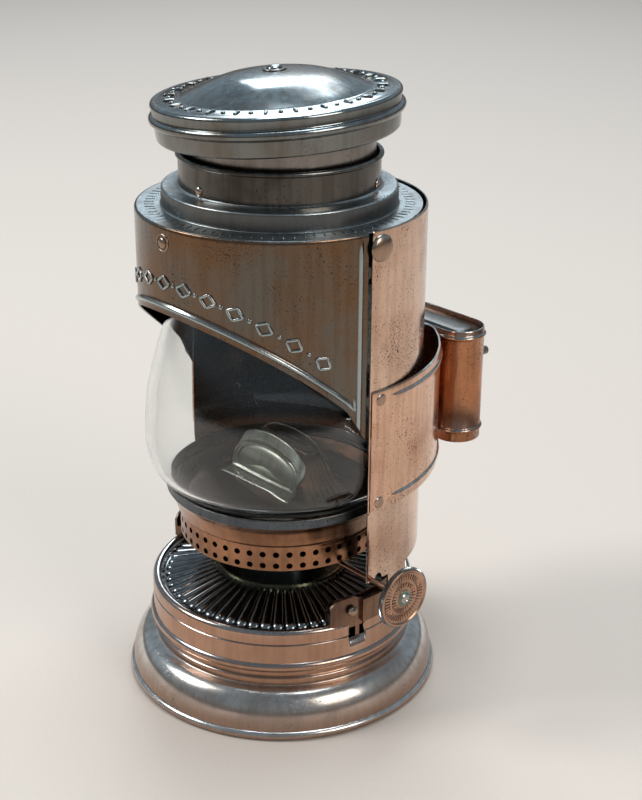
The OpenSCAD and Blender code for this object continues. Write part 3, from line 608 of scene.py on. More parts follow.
def deflector_half(facing):
    """One leaning plate with its border, its top lip and its foot; facing is -1 for the front."""
    bm = bmesh.new()
    edge = d_outline()
    centre = (0.0, 73.0)
    rings = ((0.02, 0.0), (0.5, 0.25), (0.8, 0.12), (0.85, 0.0), (0.87, 0.5), (0.89, 0.5), (0.905, 0.0),
             (0.93, 0.0), (0.945, 0.55), (0.97, 0.6), (0.99, 0.3), (1.0, -0.1))
    rows = []
    for share, raised in rings:
        row = []
        for x, z in edge:
            px, pz = centre[0] + (x - centre[0]) * share, centre[1] + (z - centre[1]) * share
            row.append((px, SLOT_Y + facing * (plate_lean(pz) + raised), pz))
        rows.append(row)
    arch = [k for k, (x, z) in enumerate(edge) if z > 70.0]
    outer = d_outline(0.4)
    for share in (0.12, 0.35, 0.6, 0.85, 1.0):
        row = []
        for k, (x, z) in enumerate(edge):
            lip_z = z + (3.4 * min(1.0, max(0.0, (z - 70.0) / 9.0)) ** 0.7) * share
            lip_y = plate_lean(z) + (4.0 - plate_lean(z)) * share * min(1.0, max(0.0, (z - 69.0) / 6.0))
            row.append((x + (outer[k][0] - x) * share, SLOT_Y + facing * lip_y, lip_z))
        rows.append(row)
    made = [[bm.verts.new([c * MM for c in p]) for p in row] for row in rows]
    rim = len(rings) - 1
    joined(bm, made[:rim + 1], loop=True, flip=facing > 0)
    joined(bm, [row[arch[0]:arch[-1] + 1] for row in made[rim:]], flip=facing > 0)
    bm.faces.new(made[0][::-1] if facing > 0 else made[0])
    lip_rows = []
    for out, fall in ((-0.1, 0.0), (0.25, 0.35), (0.9, 0.65), (2.0, 0.85), (3.6, 0.97), (4.6, 1.0)):
        half = D_HALF - 0.4 + 0.3 * out
        row = []
        for x in spread(-half, half, 24):
            y = SLOT_Y + facing * (plate_lean(D_LOW) + out)
            rest = 68.42 - max(0.0, math.hypot(x, y) - 12.0) ** 2 / 110
            row.append(bm.verts.new((x * MM, y * MM, (D_LOW + 0.1 + (rest - D_LOW - 0.1) * fall) * MM)))
        lip_rows.append(row)
    joined(bm, lip_rows, flip=facing < 0)
    loose = [v for v in bm.verts if not v.link_faces]
    bmesh.ops.delete(bm, geom=loose, context="VERTS")
    return bm


def thickened(piece, thickness_mm=0.35):
    """Gives a thin skin its sheet's thickness, behind the face that shows."""
    wall = piece.modifiers.new("sheet", "SOLIDIFY")
    wall.thickness = thickness_mm * MM
    wall.offset = -1.0
    return piece


for facing, name in ((-1, "deflector_front"), (1, "deflector_back")):
    plate = thickened(new_piece(name, deflector_half(facing), deflector_steel, sharp=60))
    settle(plate, "lantern", "deflector_steel", "flame_deflector")


def pleated_end(way):
    """The flared, pleated sheet at one end of the slot; way is 1 for the wheel's side."""
    bm = bmesh.new()
    fall = flowing([(12.8, 79.0), (15.3, 77.2), (16.7, 74.0), (18.4, 70.6), (21.0, 68.0), (23.0, 67.1)], 4)
    rows = []
    for i, (x, z) in enumerate(fall):
        share = i / (len(fall) - 1)
        half = 4.6 + 3.6 * share
        row = []
        for across in spread(-1.0, 1.0, 56):
            pleat = 0.32 * math.sin(math.pi * 14 * across / 2) * min(1.0, 3 * share)
            bulge = -0.9 * (1 - share) * across ** 2
            row.append(bm.verts.new((way * (x + pleat + bulge) * MM, (SLOT_Y + half * across) * MM,
                                     (z + 0.5 * pleat) * MM)))
        rows.append(row)
    joined(bm, rows, flip=way > 0)
    return bm


for way, name in ((1, "deflector_end_right"), (-1, "deflector_end_left")):
    end = thickened(new_piece(name, pleated_end(way), pleat_brown, sharp=70))
    settle(end, "lantern", "deflector_steel", "flame_deflector")

# ---- The wick ----------------------------------------------------------------
# A flat strip of woven cotton. Its tail hangs in the kerosene and its top edge,
# trimmed square under the deflector's slot, is charred black.


def cotton(name, z_char):
    """Two sets of fine yarns, charred black near the height z_char."""
    material, tree, surface = new_material(name)
    point = node(tree, "ShaderNodeTexCoord").outputs["Object"]
    height = node(tree, "ShaderNodeSeparateXYZ", {0: point}).outputs[2]
    yarns = []
    for way, scale in (("X", 550.0), ("Z", 450.0)):
        sockets = {"Vector": point, "Scale": scale, "Distortion": 0.4}
        yarns.append(node(tree, "ShaderNodeTexWave", sockets, bands_direction=way).outputs["Fac"])
    weave = sums(tree, "MULTIPLY", *yarns)
    char = step_between(tree, height, (z_char - 3.0) * MM, (z_char - 0.8) * MM)
    yarn = blend_colour(tree, weave, (0.42, 0.35, 0.25, 1), (0.72, 0.65, 0.52, 1))
    tree.links.new(blend_colour(tree, char, yarn, (0.018, 0.015, 0.013, 1)), surface["Base Color"])
    relief = node(tree, "ShaderNodeBump", {"Strength": 0.7, "Distance": 0.1 * MM, "Height": weave})
    tree.links.new(relief.outputs[0], surface["Normal"])
    surface["Roughness"].default_value = 0.92
    return material


wick_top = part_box("wick")[1].z / MM
wick = from_cad("cotton_wick", "wick", cotton("woven cotton", wick_top), 0.25)
settle(wick, "wick", "wick_cotton", "wick")

# ---- The wick shaft and its thumb wheel --------------------------------------
# A brass shaft carries two spur wheels that bite into the wick, and outside the shield a
# pressed copper-coloured disc with a milled edge, two rings of strokes and a riveted hub.
for name, cad_node in (("wick_spindle", "wick_shaft"), ("wick_spurs", "spur_wheels")):
    settle(from_cad(name, cad_node, burner_metal, 0.05), "wick_wheel", "burner_brass", cad_node)
wheel_copper = plated("worn copper wheel", (0.50, 0.31, 0.22), (0.44, 0.30, 0.22),
                      (0.24, 0.14, 0.10), 0.24, pit_mm=0.3, pits=0.55, tarnish=0.9, bump=0.4)
edge_steel = plated("bright milled edge", (0.26, 0.22, 0.19), (0.50, 0.58, 0.61),
                    (0.15, 0.12, 0.1), 0.2, pits=0.4)
hub_nickel = plated("worn rivet nickel", (0.46, 0.42, 0.37), (0.60, 0.62, 0.62),
                    (0.26, 0.22, 0.18), 0.22, pits=0.6)
shaft_y, shaft_z = -1.5, 48.4
wheel_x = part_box("thumb_wheel")[0].x / MM
wheel_r = (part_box("thumb_wheel")[1].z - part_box("thumb_wheel")[0].z) / 2 / MM
ALONG_X = Matrix.Rotation(math.radians(90), 4, "Y")
ON_SHAFT = Matrix.Translation(Vector((wheel_x, shaft_y, shaft_z)) * MM) @ ALONG_X


def on_shaft(bm):
    """Turns a mesh made along +Z onto the shaft, its foot against the wheel's inner face."""
    bm.transform(ON_SHAFT)
    return bm


face_line = [(0.0, 1.5), (2.6, 1.5), (2.9, 1.3), (3.4, 1.25), (5.0, 1.25), (5.3, 1.4), (5.6, 1.25)]
face_line += [(7.9, 1.25), (8.2, 1.35)] + arc(8.9, 1.35, 0.45, 160, 20, 6)
face_line += [(9.35, 1.3), (9.35, 0.1), (0.0, 0.1)]
disc = new_piece("thumb_wheel_disc", on_shaft(spin(face_line, 120)), wheel_copper)
settle(disc, "wick_wheel", "wheel_copper", "thumb_wheel")


def milled_rim(radius, teeth, low, high):
    """A ring whose outer edge is a row of fine teeth."""
    bm = bmesh.new()
    rings = []
    groove = 0.28
    for depth, z in ((0.9, low), (0.25, low), (0.0, low + 0.3),
                     (0.0, high - 0.3), (0.25, high), (0.9, high)):
        ring = []
        for k in range(2 * teeth):
            a = math.pi * k / teeth
            r = radius - depth - (groove * (k % 2) if depth < 0.5 else 0.0)
            ring.append(bm.verts.new((r * MM * math.cos(a), r * MM * math.sin(a), z * MM)))
        rings.append(ring)
    joined(bm, rings + rings[:1], loop=True)
    return bm


rim_bm = milled_rim(wheel_r, 168, 0.0, 1.4)
rim = new_piece("thumb_wheel_edge", on_shaft(rim_bm), edge_steel, sharp=60)
settle(rim, "wick_wheel", "wheel_copper", "thumb_wheel")


def soft_bar(length, width, height, pointed=0.0):
    """A low raised bar along X with rounded top edges, its foot at height 0."""
    bm = bmesh.new()
    rings = []
    for grow, z in ((1.0, -0.05), (1.0, 0.25), (0.9, 0.7), (0.6, 1.0)):
        half_l, half_w = length / 2 * (1 - (1 - grow) * 0.35), width / 2 * grow
        ring = []
        for k in range(16):
            a = 2 * math.pi * k / 16
            reach = abs(math.cos(a)) ** (0.35 + 0.65 * pointed)
            ring.append(bm.verts.new((half_l * math.copysign(reach, math.cos(a)) * MM,
                                      half_w * math.copysign(abs(math.sin(a)) ** 0.8, math.sin(a)) * MM,
                                      z * height * MM)))
        rings.append(ring)
    joined(bm, rings, loop=True)
    bm.faces.new(rings[0][::-1])
    bm.faces.new(rings[-1])
    return bm


for row, count, radius, length in (("outer", 44, 6.8, 2.0), ("inner", 26, 4.2, 1.5)):
    stroke = soft_bar(length, 0.5, 0.3)
    strokes_bm = on_shaft(ring_of(stroke, wheel_copper, count, radius=radius, height=1.25))
    strokes = new_piece("thumb_wheel_" + row + "_strokes", strokes_bm, wheel_copper, sharp=60)
    settle(strokes, "wick_wheel", "wheel_copper", "thumb_wheel")
verdigris = plated("verdigris round the hub", (0.16, 0.30, 0.24), (0.20, 0.36, 0.30),
                   (0.25, 0.16, 0.1), 0.6, pits=0.8)
verdigris.node_tree.nodes["Principled BSDF"].inputs["Metallic"].default_value = 0.3
crust_bm = spin([(1.4, 1.4)] + arc(2.1, 1.5, 0.35, 180, 0, 6) + [(2.5, 1.4)], 48)
crust = new_piece("thumb_wheel_verdigris", on_shaft(crust_bm), verdigris)
settle(crust, "wick_wheel", "wheel_copper", "thumb_wheel")
hub_line = [(0.0, -2.0), (2.2, -2.0), (2.4, -1.8), (2.4, 0.1), (0.9, 0.1), (0.9, 1.4)]
hub_line += [(1.75, 1.45), (1.7, 1.8), (1.3, 2.2), (0.9, 2.3), (0.6, 2.05), (0.0, 2.0)]
hub = new_piece("thumb_wheel_rivet", on_shaft(spin(hub_line, 48)), hub_nickel)
settle(hub, "wick_wheel", "rivet_nickel", "wheel_hub")

# ---- The globe ---------------------------------------------------------------
# Clear blown glass, full at the bottom and drawn in to an open top, with a straight foot
# that stands in the seat ring. It has faint scratches and wiping marks.
globe_glass, tree, surface = new_material("clear blown glass")
surface["Base Color"].default_value = (0.97, 0.985, 0.98, 1)
surface["Transmission Weight"].default_value = 1.0
surface["IOR"].default_value = 1.46
point = node(tree, "ShaderNodeTexCoord").outputs["Object"]
wiped = noise(tree, point, 60.0, 5.0, 0.65)
tree.links.new(step_between(tree, wiped, 0.5, 0.8, 0.0, 0.025), surface["Roughness"])
in_shadow = node(tree, "ShaderNodeLightPath").outputs["Is Shadow Ray"]
glass = tree.nodes["Principled BSDF"].outputs[0]
clear = node(tree, "ShaderNodeBsdfTransparent", {0: (0.9, 0.92, 0.91, 1)}).outputs[0]
either = node(tree, "ShaderNodeMixShader", {0: in_shadow, 1: glass, 2: clear}).outputs[0]
tree.links.new(either, tree.nodes["Material Output"].inputs["Surface"])
globe_low, globe_high = (c.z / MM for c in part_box("globe"))
globe_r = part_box("globe")[1].x / MM
globe_line = flowing([(36.4, globe_low), (36.7, 70.2), (41.4, 75.2), (globe_r - 0.3, 81.5), (globe_r, 88.0),
                      (globe_r - 0.9, 98.5), (41.2, 106.5), (37.8, 118.0), (33.2, 129.5), (30.6, 135.0),
                      (30.0, globe_high - 0.5)], 8)
glass_wall = beside(globe_line, 1.7)
lip = arc(sum((globe_line[-1][0], glass_wall[-1][0])) / 2, globe_high - 0.5, 0.85, 0, 180, 8)
globe = new_piece("glass_globe", spin(globe_line + lip[1:-1] + glass_wall[::-1]), globe_glass, sharp=60)
settle(globe, "globe", "clear_glass", "globe")

# ---- The brackets on the font's rim ------------------------------------------
# On each side a pressed copper-brown saddle hooks over the font's rim and through a slot
# below it, and carries the shield's foot. A domed rivet goes through its rounded nose.
bracket_brown = plated("brown bracket plate", (0.25, 0.145, 0.095), (0.42, 0.37, 0.33),
                       (0.12, 0.07, 0.05), 0.24, pit_mm=0.4, pits=0.7, tarnish=0.9, bump=0.4)
for side in ("right", "left"):
    bracket = from_cad("rim_bracket_" + side, "side_bracket_" + side, bracket_brown, 0.28)
    settle(bracket, "lantern", "bracket_nickel", "side_bracket_" + side)


def outward(bm, phi, r, z):
    """Turns a mesh made along +Z so that it points out of the body at an azimuth and a height."""
    a = math.radians(phi)
    spot = Vector((r * math.sin(a), -r * math.cos(a), z)) * MM
    lie_flat = Matrix.Rotation(math.radians(90), 4, "X")
    bm.transform(Matrix.Translation(spot) @ Matrix.Rotation(a, 4, "Z") @ lie_flat)
    return bm


def rivet_bm(r, h, depth=1.0, shank=None):
    """A domed head with a soft lower edge, and a shank behind it."""
    shank = 0.55 * r if shank is None else shank
    line = [(0.0, -depth), (shank, -depth), (shank, -0.1), (r - 0.15, -0.1), (r, 0.08)]
    line += [(r * math.cos(math.radians(t)) * 0.985, 0.08 + (h - 0.08) * math.sin(math.radians(t)))
             for t in range(12, 90, 13)]
    return spin(line + [(0.0, h)], 40)


def merged(meshes):
    """One mesh out of several."""
    whole = bmesh.new()
    for part in meshes:
        held = bpy.data.meshes.new("held")
        part.to_mesh(held)
        whole.from_mesh(held)
        part.free()
        bpy.data.meshes.remove(held)
    return whole


rivet_metal = plated("rubbed rivet nickel", (0.44, 0.30, 0.22), (0.66, 0.70, 0.70),
                     (0.22, 0.14, 0.09), 0.2, pit_mm=0.35, pits=0.6)
heads = [outward(rivet_bm(1.7, 1.1), side * 80, font_r + 0.8, 38.7) for side in (1, -1)]
heads += [outward(rivet_bm(1.5, 0.8), side * 105, 44.9, 38.4) for side in (1, -1)]
bracket_heads = new_piece("bracket_rivet_heads", merged(heads), rivet_metal)
settle(bracket_heads, "lantern", "rivet_nickel", "bracket_rivets")

# ---- The shield --------------------------------------------------------------
# The fixed rear half of the body, a curved nickel-plated sheet open to the front. It
# stands on the brackets by two feet, and its front edges are folded back on themselves.
shield_plate = plated("pinkish nickel of the shield", (0.72, 0.50, 0.38), (0.66, 0.66, 0.62),
                      (0.46, 0.27, 0.18), 0.13, pit_mm=0.55, pits=1.25, tarnish=0.7, bump=0.2,
                      soot_mm=44.7)
BODY_R = 45.0
SHEET = 0.6


def close_sheet(bm, out, back):
    """Closes a sheet; its outer and inner faces are grids of points in the same order."""
    joined(bm, out, flip=True)
    joined(bm, back)
    for edge, flip in ((0, True), (-1, False)):
        joined(bm, [[row[edge] for row in out], [row[edge] for row in back]], flip=flip)
        joined(bm, [out[edge], back[edge]], flip=not flip)


def panel(phis, heights, outer, inner):
    """A curved sheet; heights gives as many z for every azimuth, and outer and inner the radii."""
    bm = bmesh.new()
    skins = []
    for radius in (outer, inner):
        skin = []
        for phi in phis:
            a = math.radians(phi)
            row = []
            for z in heights(phi):
                r = radius(phi, z)
                row.append(bm.verts.new((r * math.sin(a) * MM, -r * math.cos(a) * MM, z * MM)))
            skin.append(row)
        skins.append(skin)
    close_sheet(bm, *skins)
    return bm


def bump(x, half):
    """A smooth hump one high and twice half wide."""
    return 0.5 + 0.5 * math.cos(math.pi * x / half) if abs(x) < half else 0.0


def shield_foot(phi):
    """How low the sheet reaches: two feet, and a round notch over the shaft on the wheel's side."""
    foot_z, edge_z, notch_half, notch_mm = 34.5, 47.7, 2.0, 2.2
    if 98.0 <= min(phi, 360 - phi) <= 111.0:
        return foot_z
    side = abs(phi - 91.9)
    if side > notch_half:
        return edge_z
    return edge_z + notch_mm * math.sqrt(max(0.0, 1 - (side / notch_half) ** 2))


shield_phis = spread(85.7, 88.0, 6) + spread(89.5, 94.3, 16) + [97.9, 98.0]
shield_phis += spread(99.0, 110.0, 6) + [111.0, 111.1] + spread(113.0, 179.0, 34)
shield_phis += [360 - p for p in shield_phis[::-1]]


def shield_heights(phi):
    return [shield_foot(phi)] + spread(51.0, 159.0, 44) + [160.6, 160.9]


def shield_face(phi, z):
    """The outer radius, rounded off at the top and along the two upright edges."""
    return BODY_R - (0.2 if z > 160.8 else 0.0) - (0.15 if min(phi, 360 - phi) < 85.8 else 0.0)


shield_bm = panel(shield_phis, shield_heights, shield_face, lambda phi, z: BODY_R - SHEET)
shield = new_piece("shield_sheet", shield_bm, shield_plate)
settle(shield, "lantern", "body_nickel", "shield")

# The pivot rivets, large domes on which the hood turns, and their heads inside.
pivots = []
for side in (1, -1):
    pivots.append(outward(rivet_bm(4.1, 1.5, 3.0, 1.55), side * 90, BODY_R, 155.6))
    pivots.append(outward(spin([(0.0, 0.0), (2.6, 0.0), (2.6, 0.5), (0.0, 0.6)], 40), side * 90, 42.0, 155.6))
pivot_heads = new_piece("pivot_rivet_domes", merged(pivots), rivet_metal)
settle(pivot_heads, "lantern", "rivet_nickel", "pivot_rivets")

# ---- The strap ---------------------------------------------------------------
# A band of sheet riveted to both sides of the shield that loops out behind it, with a
# rounded bead along each edge. A hand, a belt or a coat's strap goes through it.
strap_plate = plated("warm nickel of the strap", (0.76, 0.48, 0.34), (0.66, 0.76, 0.80),
                     (0.46, 0.23, 0.13), 0.13, pit_mm=0.55, pits=1.2, tarnish=0.8, bump=0.2)
strap_low, strap_high = (c.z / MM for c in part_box("strap_band"))
half_line = arc(0.0, 0.0, 45.7, -4.0, 2.0, 6) + arc(-12.3, 2.0, 58.0, 0.4, 58.2, 26)
half_line += arc(15.1, 46.2, 6.0, 63.5, 90.0, 5) + [(x, 52.2) for x in (12.0, 8.0, 4.0)]
strap_line = half_line + [(0.0, 52.2)] + [(-x, y) for x, y in half_line[::-1]]


def band_mesh(line, low, high, thick, relief):
    """A band of sheet along a line in plan; relief gives how far its face stands out."""
    bm = bmesh.new()
    inside = beside(line, thick)
    outside = beside(line, -1.0)
    levels = sorted(set([low, low + 0.25, high - 0.25, high] + spread(low + 1.9, low + 4.3, 8)
                        + spread(high - 4.3, high - 1.9, 8) + spread(low + 6.0, high - 6.0, 4)))
    rows = []
    for (x, y), (xi, yi), (xo, yo) in zip(line, inside, outside):
        column = []
        for z in levels:
            lift = relief(y, z) - (0.12 if z in (low, high) else 0.0)
            column.append(bm.verts.new(((x + (xo - x) * lift) * MM, (y + (yo - y) * lift) * MM, z * MM)))
        rows.append((column, [bm.verts.new((xi * MM, yi * MM, z * MM)) for z in levels]))
    close_sheet(bm, *zip(*rows))
    return bm


def strap_relief(y, z):
    """The two beads along the strap's edges, which fade out at its ends and on the box."""
    ends = min(1.0, max(0.0, (y - 5.0) / 2.5)) * min(1.0, max(0.0, (52.0 - y) / 1.5))
    return 0.7 * ends * (bump(z - strap_low - 3.1, 1.0) + bump(z - strap_high + 3.1, 1.0)) ** 0.7


strap_bm = band_mesh(strap_line, strap_low, strap_high, 0.7, strap_relief)
strap = new_piece("belt_strap", strap_bm, strap_plate, sharp=50)
settle(strap, "lantern", "body_nickel", "strap_band")
flat_heads = [outward(rivet_bm(1.9, 0.5, 0.6), side * 90.5, 45.65, z)
              for side in (1, -1) for z in (75.1, 109.0)]
strap_heads = new_piece("strap_rivet_heads", merged(flat_heads), rivet_metal)
settle(strap_heads, "lantern", "rivet_nickel", "strap_rivets")

# ---- The flat box ------------------------------------------------------------
# A flat oval tin box soldered to the strap's back, for matches or spare wicks. A bead
# runs round it near each end, and its lid drops inside its rim with a raised oval panel.
box_plate = plated("coppery nickel of the box", (0.50, 0.22, 0.11), (0.50, 0.62, 0.66),
                   (0.28, 0.12, 0.06), 0.15, pit_mm=0.5, pits=1.2, tarnish=0.7, bump=0.25)
BOX_HALF, BOX_R, BOX_Y = 29.0, 8.05, 60.25


def ovals(profile, close_ends=True):
    """A closed oval shell: the profile gives (sideways offset, height) from the box's own outline."""
    bm = bmesh.new()
    rings = []
    for off, z in profile:
        radius = max(BOX_R + off, 0.02)
        straight = BOX_HALF - BOX_R
        ring = []
        for end, start in ((1, -90), (-1, 90)):
            for k in range(25):
                a = math.radians(start + 7.5 * k)
                ring.append(bm.verts.new(((end * straight + radius * math.cos(a)) * MM,
                                          (BOX_Y + radius * math.sin(a)) * MM, z * MM)))
        rings.append(ring)
    joined(bm, rings if close_ends else rings + rings[:1], loop=True)
    if close_ends:
        bm.faces.new(rings[0][::-1])
        bm.faces.new(rings[-1])
    return bm


def box_bead(z):
    return [(0.68 * bump(u, 1.0) ** 0.7, z + u) for u in spread(-0.95, 0.95, 10)]


box_low, box_high = (c.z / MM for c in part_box("box_body"))
box_profile = [(-0.7, box_low), (-0.15, box_low), (0.0, box_low + 0.2)] + box_bead(76.3) + [(0.0, 92.0)]
box_profile += box_bead(109.4) + [(0.0, box_high - 0.3), (-0.2, box_high)]
box_profile += [(-0.5, box_high), (-0.7, box_high - 0.3)]
box_shell = new_piece("flat_box", ovals(box_profile, False), box_plate, sharp=50)
settle(box_shell, "lantern", "body_nickel", "box_body")
settle(from_cad("flat_box_floor", "box_floor", box_plate, 0.1), "lantern", "body_nickel", "box_floor")
lid_plate = plated("dark lid plate", (0.10, 0.08, 0.065), (0.10, 0.105, 0.105), (0.06, 0.05, 0.04),
                   0.32, pits=1.0)
lid_low, lid_high = (c.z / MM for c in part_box("box_lid"))
inset = -0.95
lid_profile = [(-7.4, lid_high - 2.2), (inset - 0.8, lid_high - 2.2), (inset - 0.6, lid_low),
               (inset, lid_low), (inset, lid_high - 1.1), (inset - 0.3, lid_high - 0.8), (-3.4, lid_high - 0.8),
               (-3.8, lid_high - 0.6), (-4.2, lid_high - 0.15), (-4.6, lid_high), (-7.4, lid_high)]
lid = new_piece("flat_box_lid", ovals(lid_profile), lid_plate, sharp=50)
settle(lid, "box_lid", "lid_steel", "box_lid")
stud_steel = plated("dark stud steel", (0.24, 0.22, 0.20), (0.35, 0.35, 0.34), (0.14, 0.10, 0.07),
                    0.3, pits=0.9)
settle(from_cad("belt_studs_pair", "back_studs", stud_steel, 0.15), "lantern", "stud_steel", "back_studs")

# ---- The hood ----------------------------------------------------------------
# The canopy over the globe: a curved sheet cut to an arch in front, stiffened by a bead
# along the arch and one up each side, with a row of pressed ornament between bead and top.
# The beads, lozenges and dots that stand out beyond the worn radius carry rubbed wear and a painted bluish
# highlight.
hood_plate = plated("grey-brown nickel of the hood", (0.14, 0.125, 0.105), (0.46, 0.50, 0.50),
                    (0.175, 0.095, 0.05), 0.13, pit_mm=0.45, pits=1.1, tarnish=0.9, bump=0.25,
                    soot_mm=43.8, rubbed_highlight_mm=44.3)
HOOD_OUT = 44.1
HOOD_HALF = 84.5
PLATE_Z = 160.4


HOOD_IN = 43.5
ARCH_TOP = 133.8
ARCH_SPREAD = 129


def arch_drop(phi):
    """How far a line along the arch has fallen below its middle."""
    return (HOOD_OUT * math.radians(phi)) ** 2 / ARCH_SPREAD


def corner_drop(phi):
    """How much further the arch falls near its two ends."""
    return max(0.0, abs(phi) - 76.0) * 0.55


def arch_edge(phi):
    """Height of the canopy's lower edge."""
    return ARCH_TOP - arch_drop(phi) - corner_drop(phi)


hood_side = spread(79.0, HOOD_HALF, 22)
hood_phis = [-phi for phi in hood_side[::-1]] + spread(-78.0, 78.0, 104) + hood_side


def hood_heights(phi):
    """Heights from the edge, close together at the bead and at the rounded top."""
    edge = arch_edge(phi)
    near = [edge, edge + 0.15, edge + 0.9] + spread(edge + 1.5, edge + 3.7, 8)
    return near + spread(edge + 4.6, PLATE_Z - 1.3, 12) + [PLATE_Z - 0.7, PLATE_Z - 0.25, PLATE_Z]


def hood_face(phi, z):
    """The outer radius with the bead along the arch, the one up each side, and the rounded top."""
    s = z - arch_edge(phi) - corner_drop(phi)
    along = 0.8 * bump(s - 2.6, 1.1) ** 0.7 * (1.0 if abs(phi) < 79.5 else 0.0)
    upright = 0.8 * bump(abs(phi) - 81.0, 1.35) ** 0.6
    upright *= min(1.0, max(0.0, (158.4 - z) / 1.0))
    shoulder = 0.45 * max(0.0, (z - PLATE_Z + 0.7) / 0.7) ** 2
    return HOOD_OUT + max(along, upright) - shoulder


hood_bm = panel(hood_phis, hood_heights, hood_face, lambda phi, z: HOOD_IN)
hood = new_piece("hood_sheet", hood_bm, hood_plate, sharp=48)
settle(hood, "hood", "hood_nickel", "hood_canopy")


def along_arch(item_bm, name, last, count):
    """Copies of an item along a line above the arch's bead, each turned to the line's slope."""
    pieces = []
    held = bpy.data.meshes.new("held")
    item_bm.to_mesh(held)
    for phi in spread(-last, last, count - 1):
        bm = bmesh.new()
        bm.from_mesh(held)
        s = HOOD_OUT * math.radians(phi)
        bm.transform(Matrix.Rotation(-math.atan(2 * s / ARCH_SPREAD), 4, "Z"))
        pieces.append(outward(bm, phi, HOOD_OUT - 0.02, ARCH_TOP + 9.8 - arch_drop(phi)))
    item_bm.free()
    made = new_piece(name, merged(pieces), hood_plate, sharp=60)
    settle(made, "hood", "hood_nickel", "hood_canopy")


lozenge = []
for way_x, way_y in ((1, 1), (-1, 1), (-1, -1), (1, -1)):
    stroke = soft_bar(3.6, 0.95, 0.5)
    lean = Matrix.Rotation(-way_x * way_y * math.radians(38), 4, "Z")
    stroke.transform(Matrix.Translation(Vector((1.35 * way_x, 1.05 * way_y, 0)) * MM) @ lean)
    lozenge.append(stroke)
along_arch(merged(lozenge), "hood_lozenges", 66, 13)
along_arch(rivet_bm(0.75, 0.5, 0.1), "hood_dots", 60.5, 12)
ring_bm = spin([(2.2, -0.1)] + arc(2.5, 0.0, 0.3, 180, 0, 8) + [(2.8, -0.1)], 40)
ringed_bm = merged([rivet_bm(1.7, 0.85, 0.5), ring_bm])
hood_head = new_piece("hood_rivet_head", outward(ringed_bm, 0, HOOD_OUT - 0.02, 155.5), rivet_metal)
settle(hood_head, "hood", "rivet_nickel", "hood_rivet")

# ---- The hood's top, the step and the chimney's neck -------------------------
# A flat ring closes the hood, with a flange and an ear at each pivot turned down inside.
# A drawn step rises from it to the neck, whose rim is rolled outwards.
# Where the top faces up its pale bluish colour is a painted reflection of the sky above.
top_plate_metal = plated("nickel of the top with painted sky reflection", (0.11, 0.118, 0.124), (0.62, 0.73, 0.78),
                         (0.17, 0.165, 0.155), 0.25, pit_mm=0.35, pits=0.75, tarnish=0.8,
                         bump=0.25)
PLATE_LOW = PLATE_Z - SHEET
FLANGE_IN = HOOD_IN - SHEET
NECK_R = 30.6
ring_line = [(NECK_R, PLATE_LOW), (FLANGE_IN, PLATE_LOW), (FLANGE_IN, 155.2), (HOOD_IN, 155.2)]
ring_line += [(HOOD_IN, PLATE_Z - 0.15), (HOOD_IN - 0.15, PLATE_Z), (NECK_R, PLATE_Z)]
EAR_HALF = 8


def ear_heights(phi):
    """An ear with a nearly flat lower edge and rounded corners."""
    return [151.2 + 3.0 * (abs(abs(phi) - 90) / EAR_HALF) ** 4, 153.0, 155.4]


top_parts = [spin(ring_line)]
for side in (90, -90):
    ear_phis = spread(side - EAR_HALF, side + EAR_HALF, 12)
    top_parts.append(panel(ear_phis, ear_heights, lambda phi, z: HOOD_IN, lambda phi, z: FLANGE_IN))
top_ring = new_piece("hood_top_ring", merged(top_parts), top_plate_metal)
settle(top_ring, "hood", "top_nickel", "top_plate")
hatch_bm = ring_of(soft_bar(3.0, 0.5, 0.22), top_plate_metal, 84, radius=39.6, height=PLATE_Z)
hatch = new_piece("hood_top_hatching", hatch_bm, top_plate_metal, sharp=60)
settle(hatch, "hood", "top_nickel", "top_plate")
step_line = [(36.1, PLATE_Z)] + arc(36.5, PLATE_Z + 0.5, 0.5, -100, -180, 4) + [(36.0, 165.0)]
step_line += arc(35.2, 165.2, 0.8, 0, 90, 8) + [(31.5, 166.0), (31.0, 166.2), (30.6, 166.6)]
step = new_piece("neck_step_sheet", spin(walled(step_line, 0.6)), top_plate_metal)
settle(step, "hood", "top_nickel", "neck_step")
neck_metal = plated("brown-grey nickel of the neck", (0.11, 0.10, 0.09), (0.40, 0.46, 0.48),
                    (0.06, 0.05, 0.04), 0.2, pits=0.8, tarnish=0.9)
NECK_IN = NECK_R - SHEET
neck_line = [(NECK_IN, PLATE_LOW), (NECK_R, PLATE_LOW), (NECK_R, 174.8)]
neck_line += arc(NECK_R, 175.6, 0.8, -90, 140, 14) + [(NECK_IN, 175.2)]
neck = new_piece("chimney_neck", spin(neck_line), neck_metal)
settle(neck, "hood", "top_nickel", "neck_ring")
studs = [outward(rivet_bm(1.5, 0.8, 3.2, 0.9), phi, NECK_R, 168.2) for phi in (0, 120, 240)]
neck_heads = new_piece("neck_stud_heads", merged(studs), rivet_metal)
settle(neck_heads, "hood", "top_nickel", "neck_studs")

# ---- The cap -----------------------------------------------------------------
# A hollow spun cap that sits loosely, a little askew, over the neck: a rolled-under rim, a
# bead round its side, a flat ring of pressed ornament, and a dome with a riveted button.
cap_metal = plated("silvery nickel of the cap", (0.20, 0.21, 0.205), (0.42, 0.52, 0.57),
                   (0.17, 0.145, 0.12), 0.13, pit_mm=0.35, pits=0.8, tarnish=0.8, bump=0.25)
CAP_R, CAP_Z0, CAP_Z1 = 38.3, 181.7, 193.5
SLEEVE_R = 28.9
SLEEVE_IN, SLEEVE_TOP = SLEEVE_R - SHEET, 182.9
askew = Matrix.Rotation(math.radians(3.7), 4, Vector((*around(1.0, -40), 0)))
tip_point = Vector((0, 0, 178 * MM))
SEATED = Matrix.Translation(tip_point) @ askew @ Matrix.Translation(-tip_point)


def on_cap(bm):
    """Moves a mesh drawn upright to where the loose cap lies."""
    bm.transform(SEATED)
    return bm


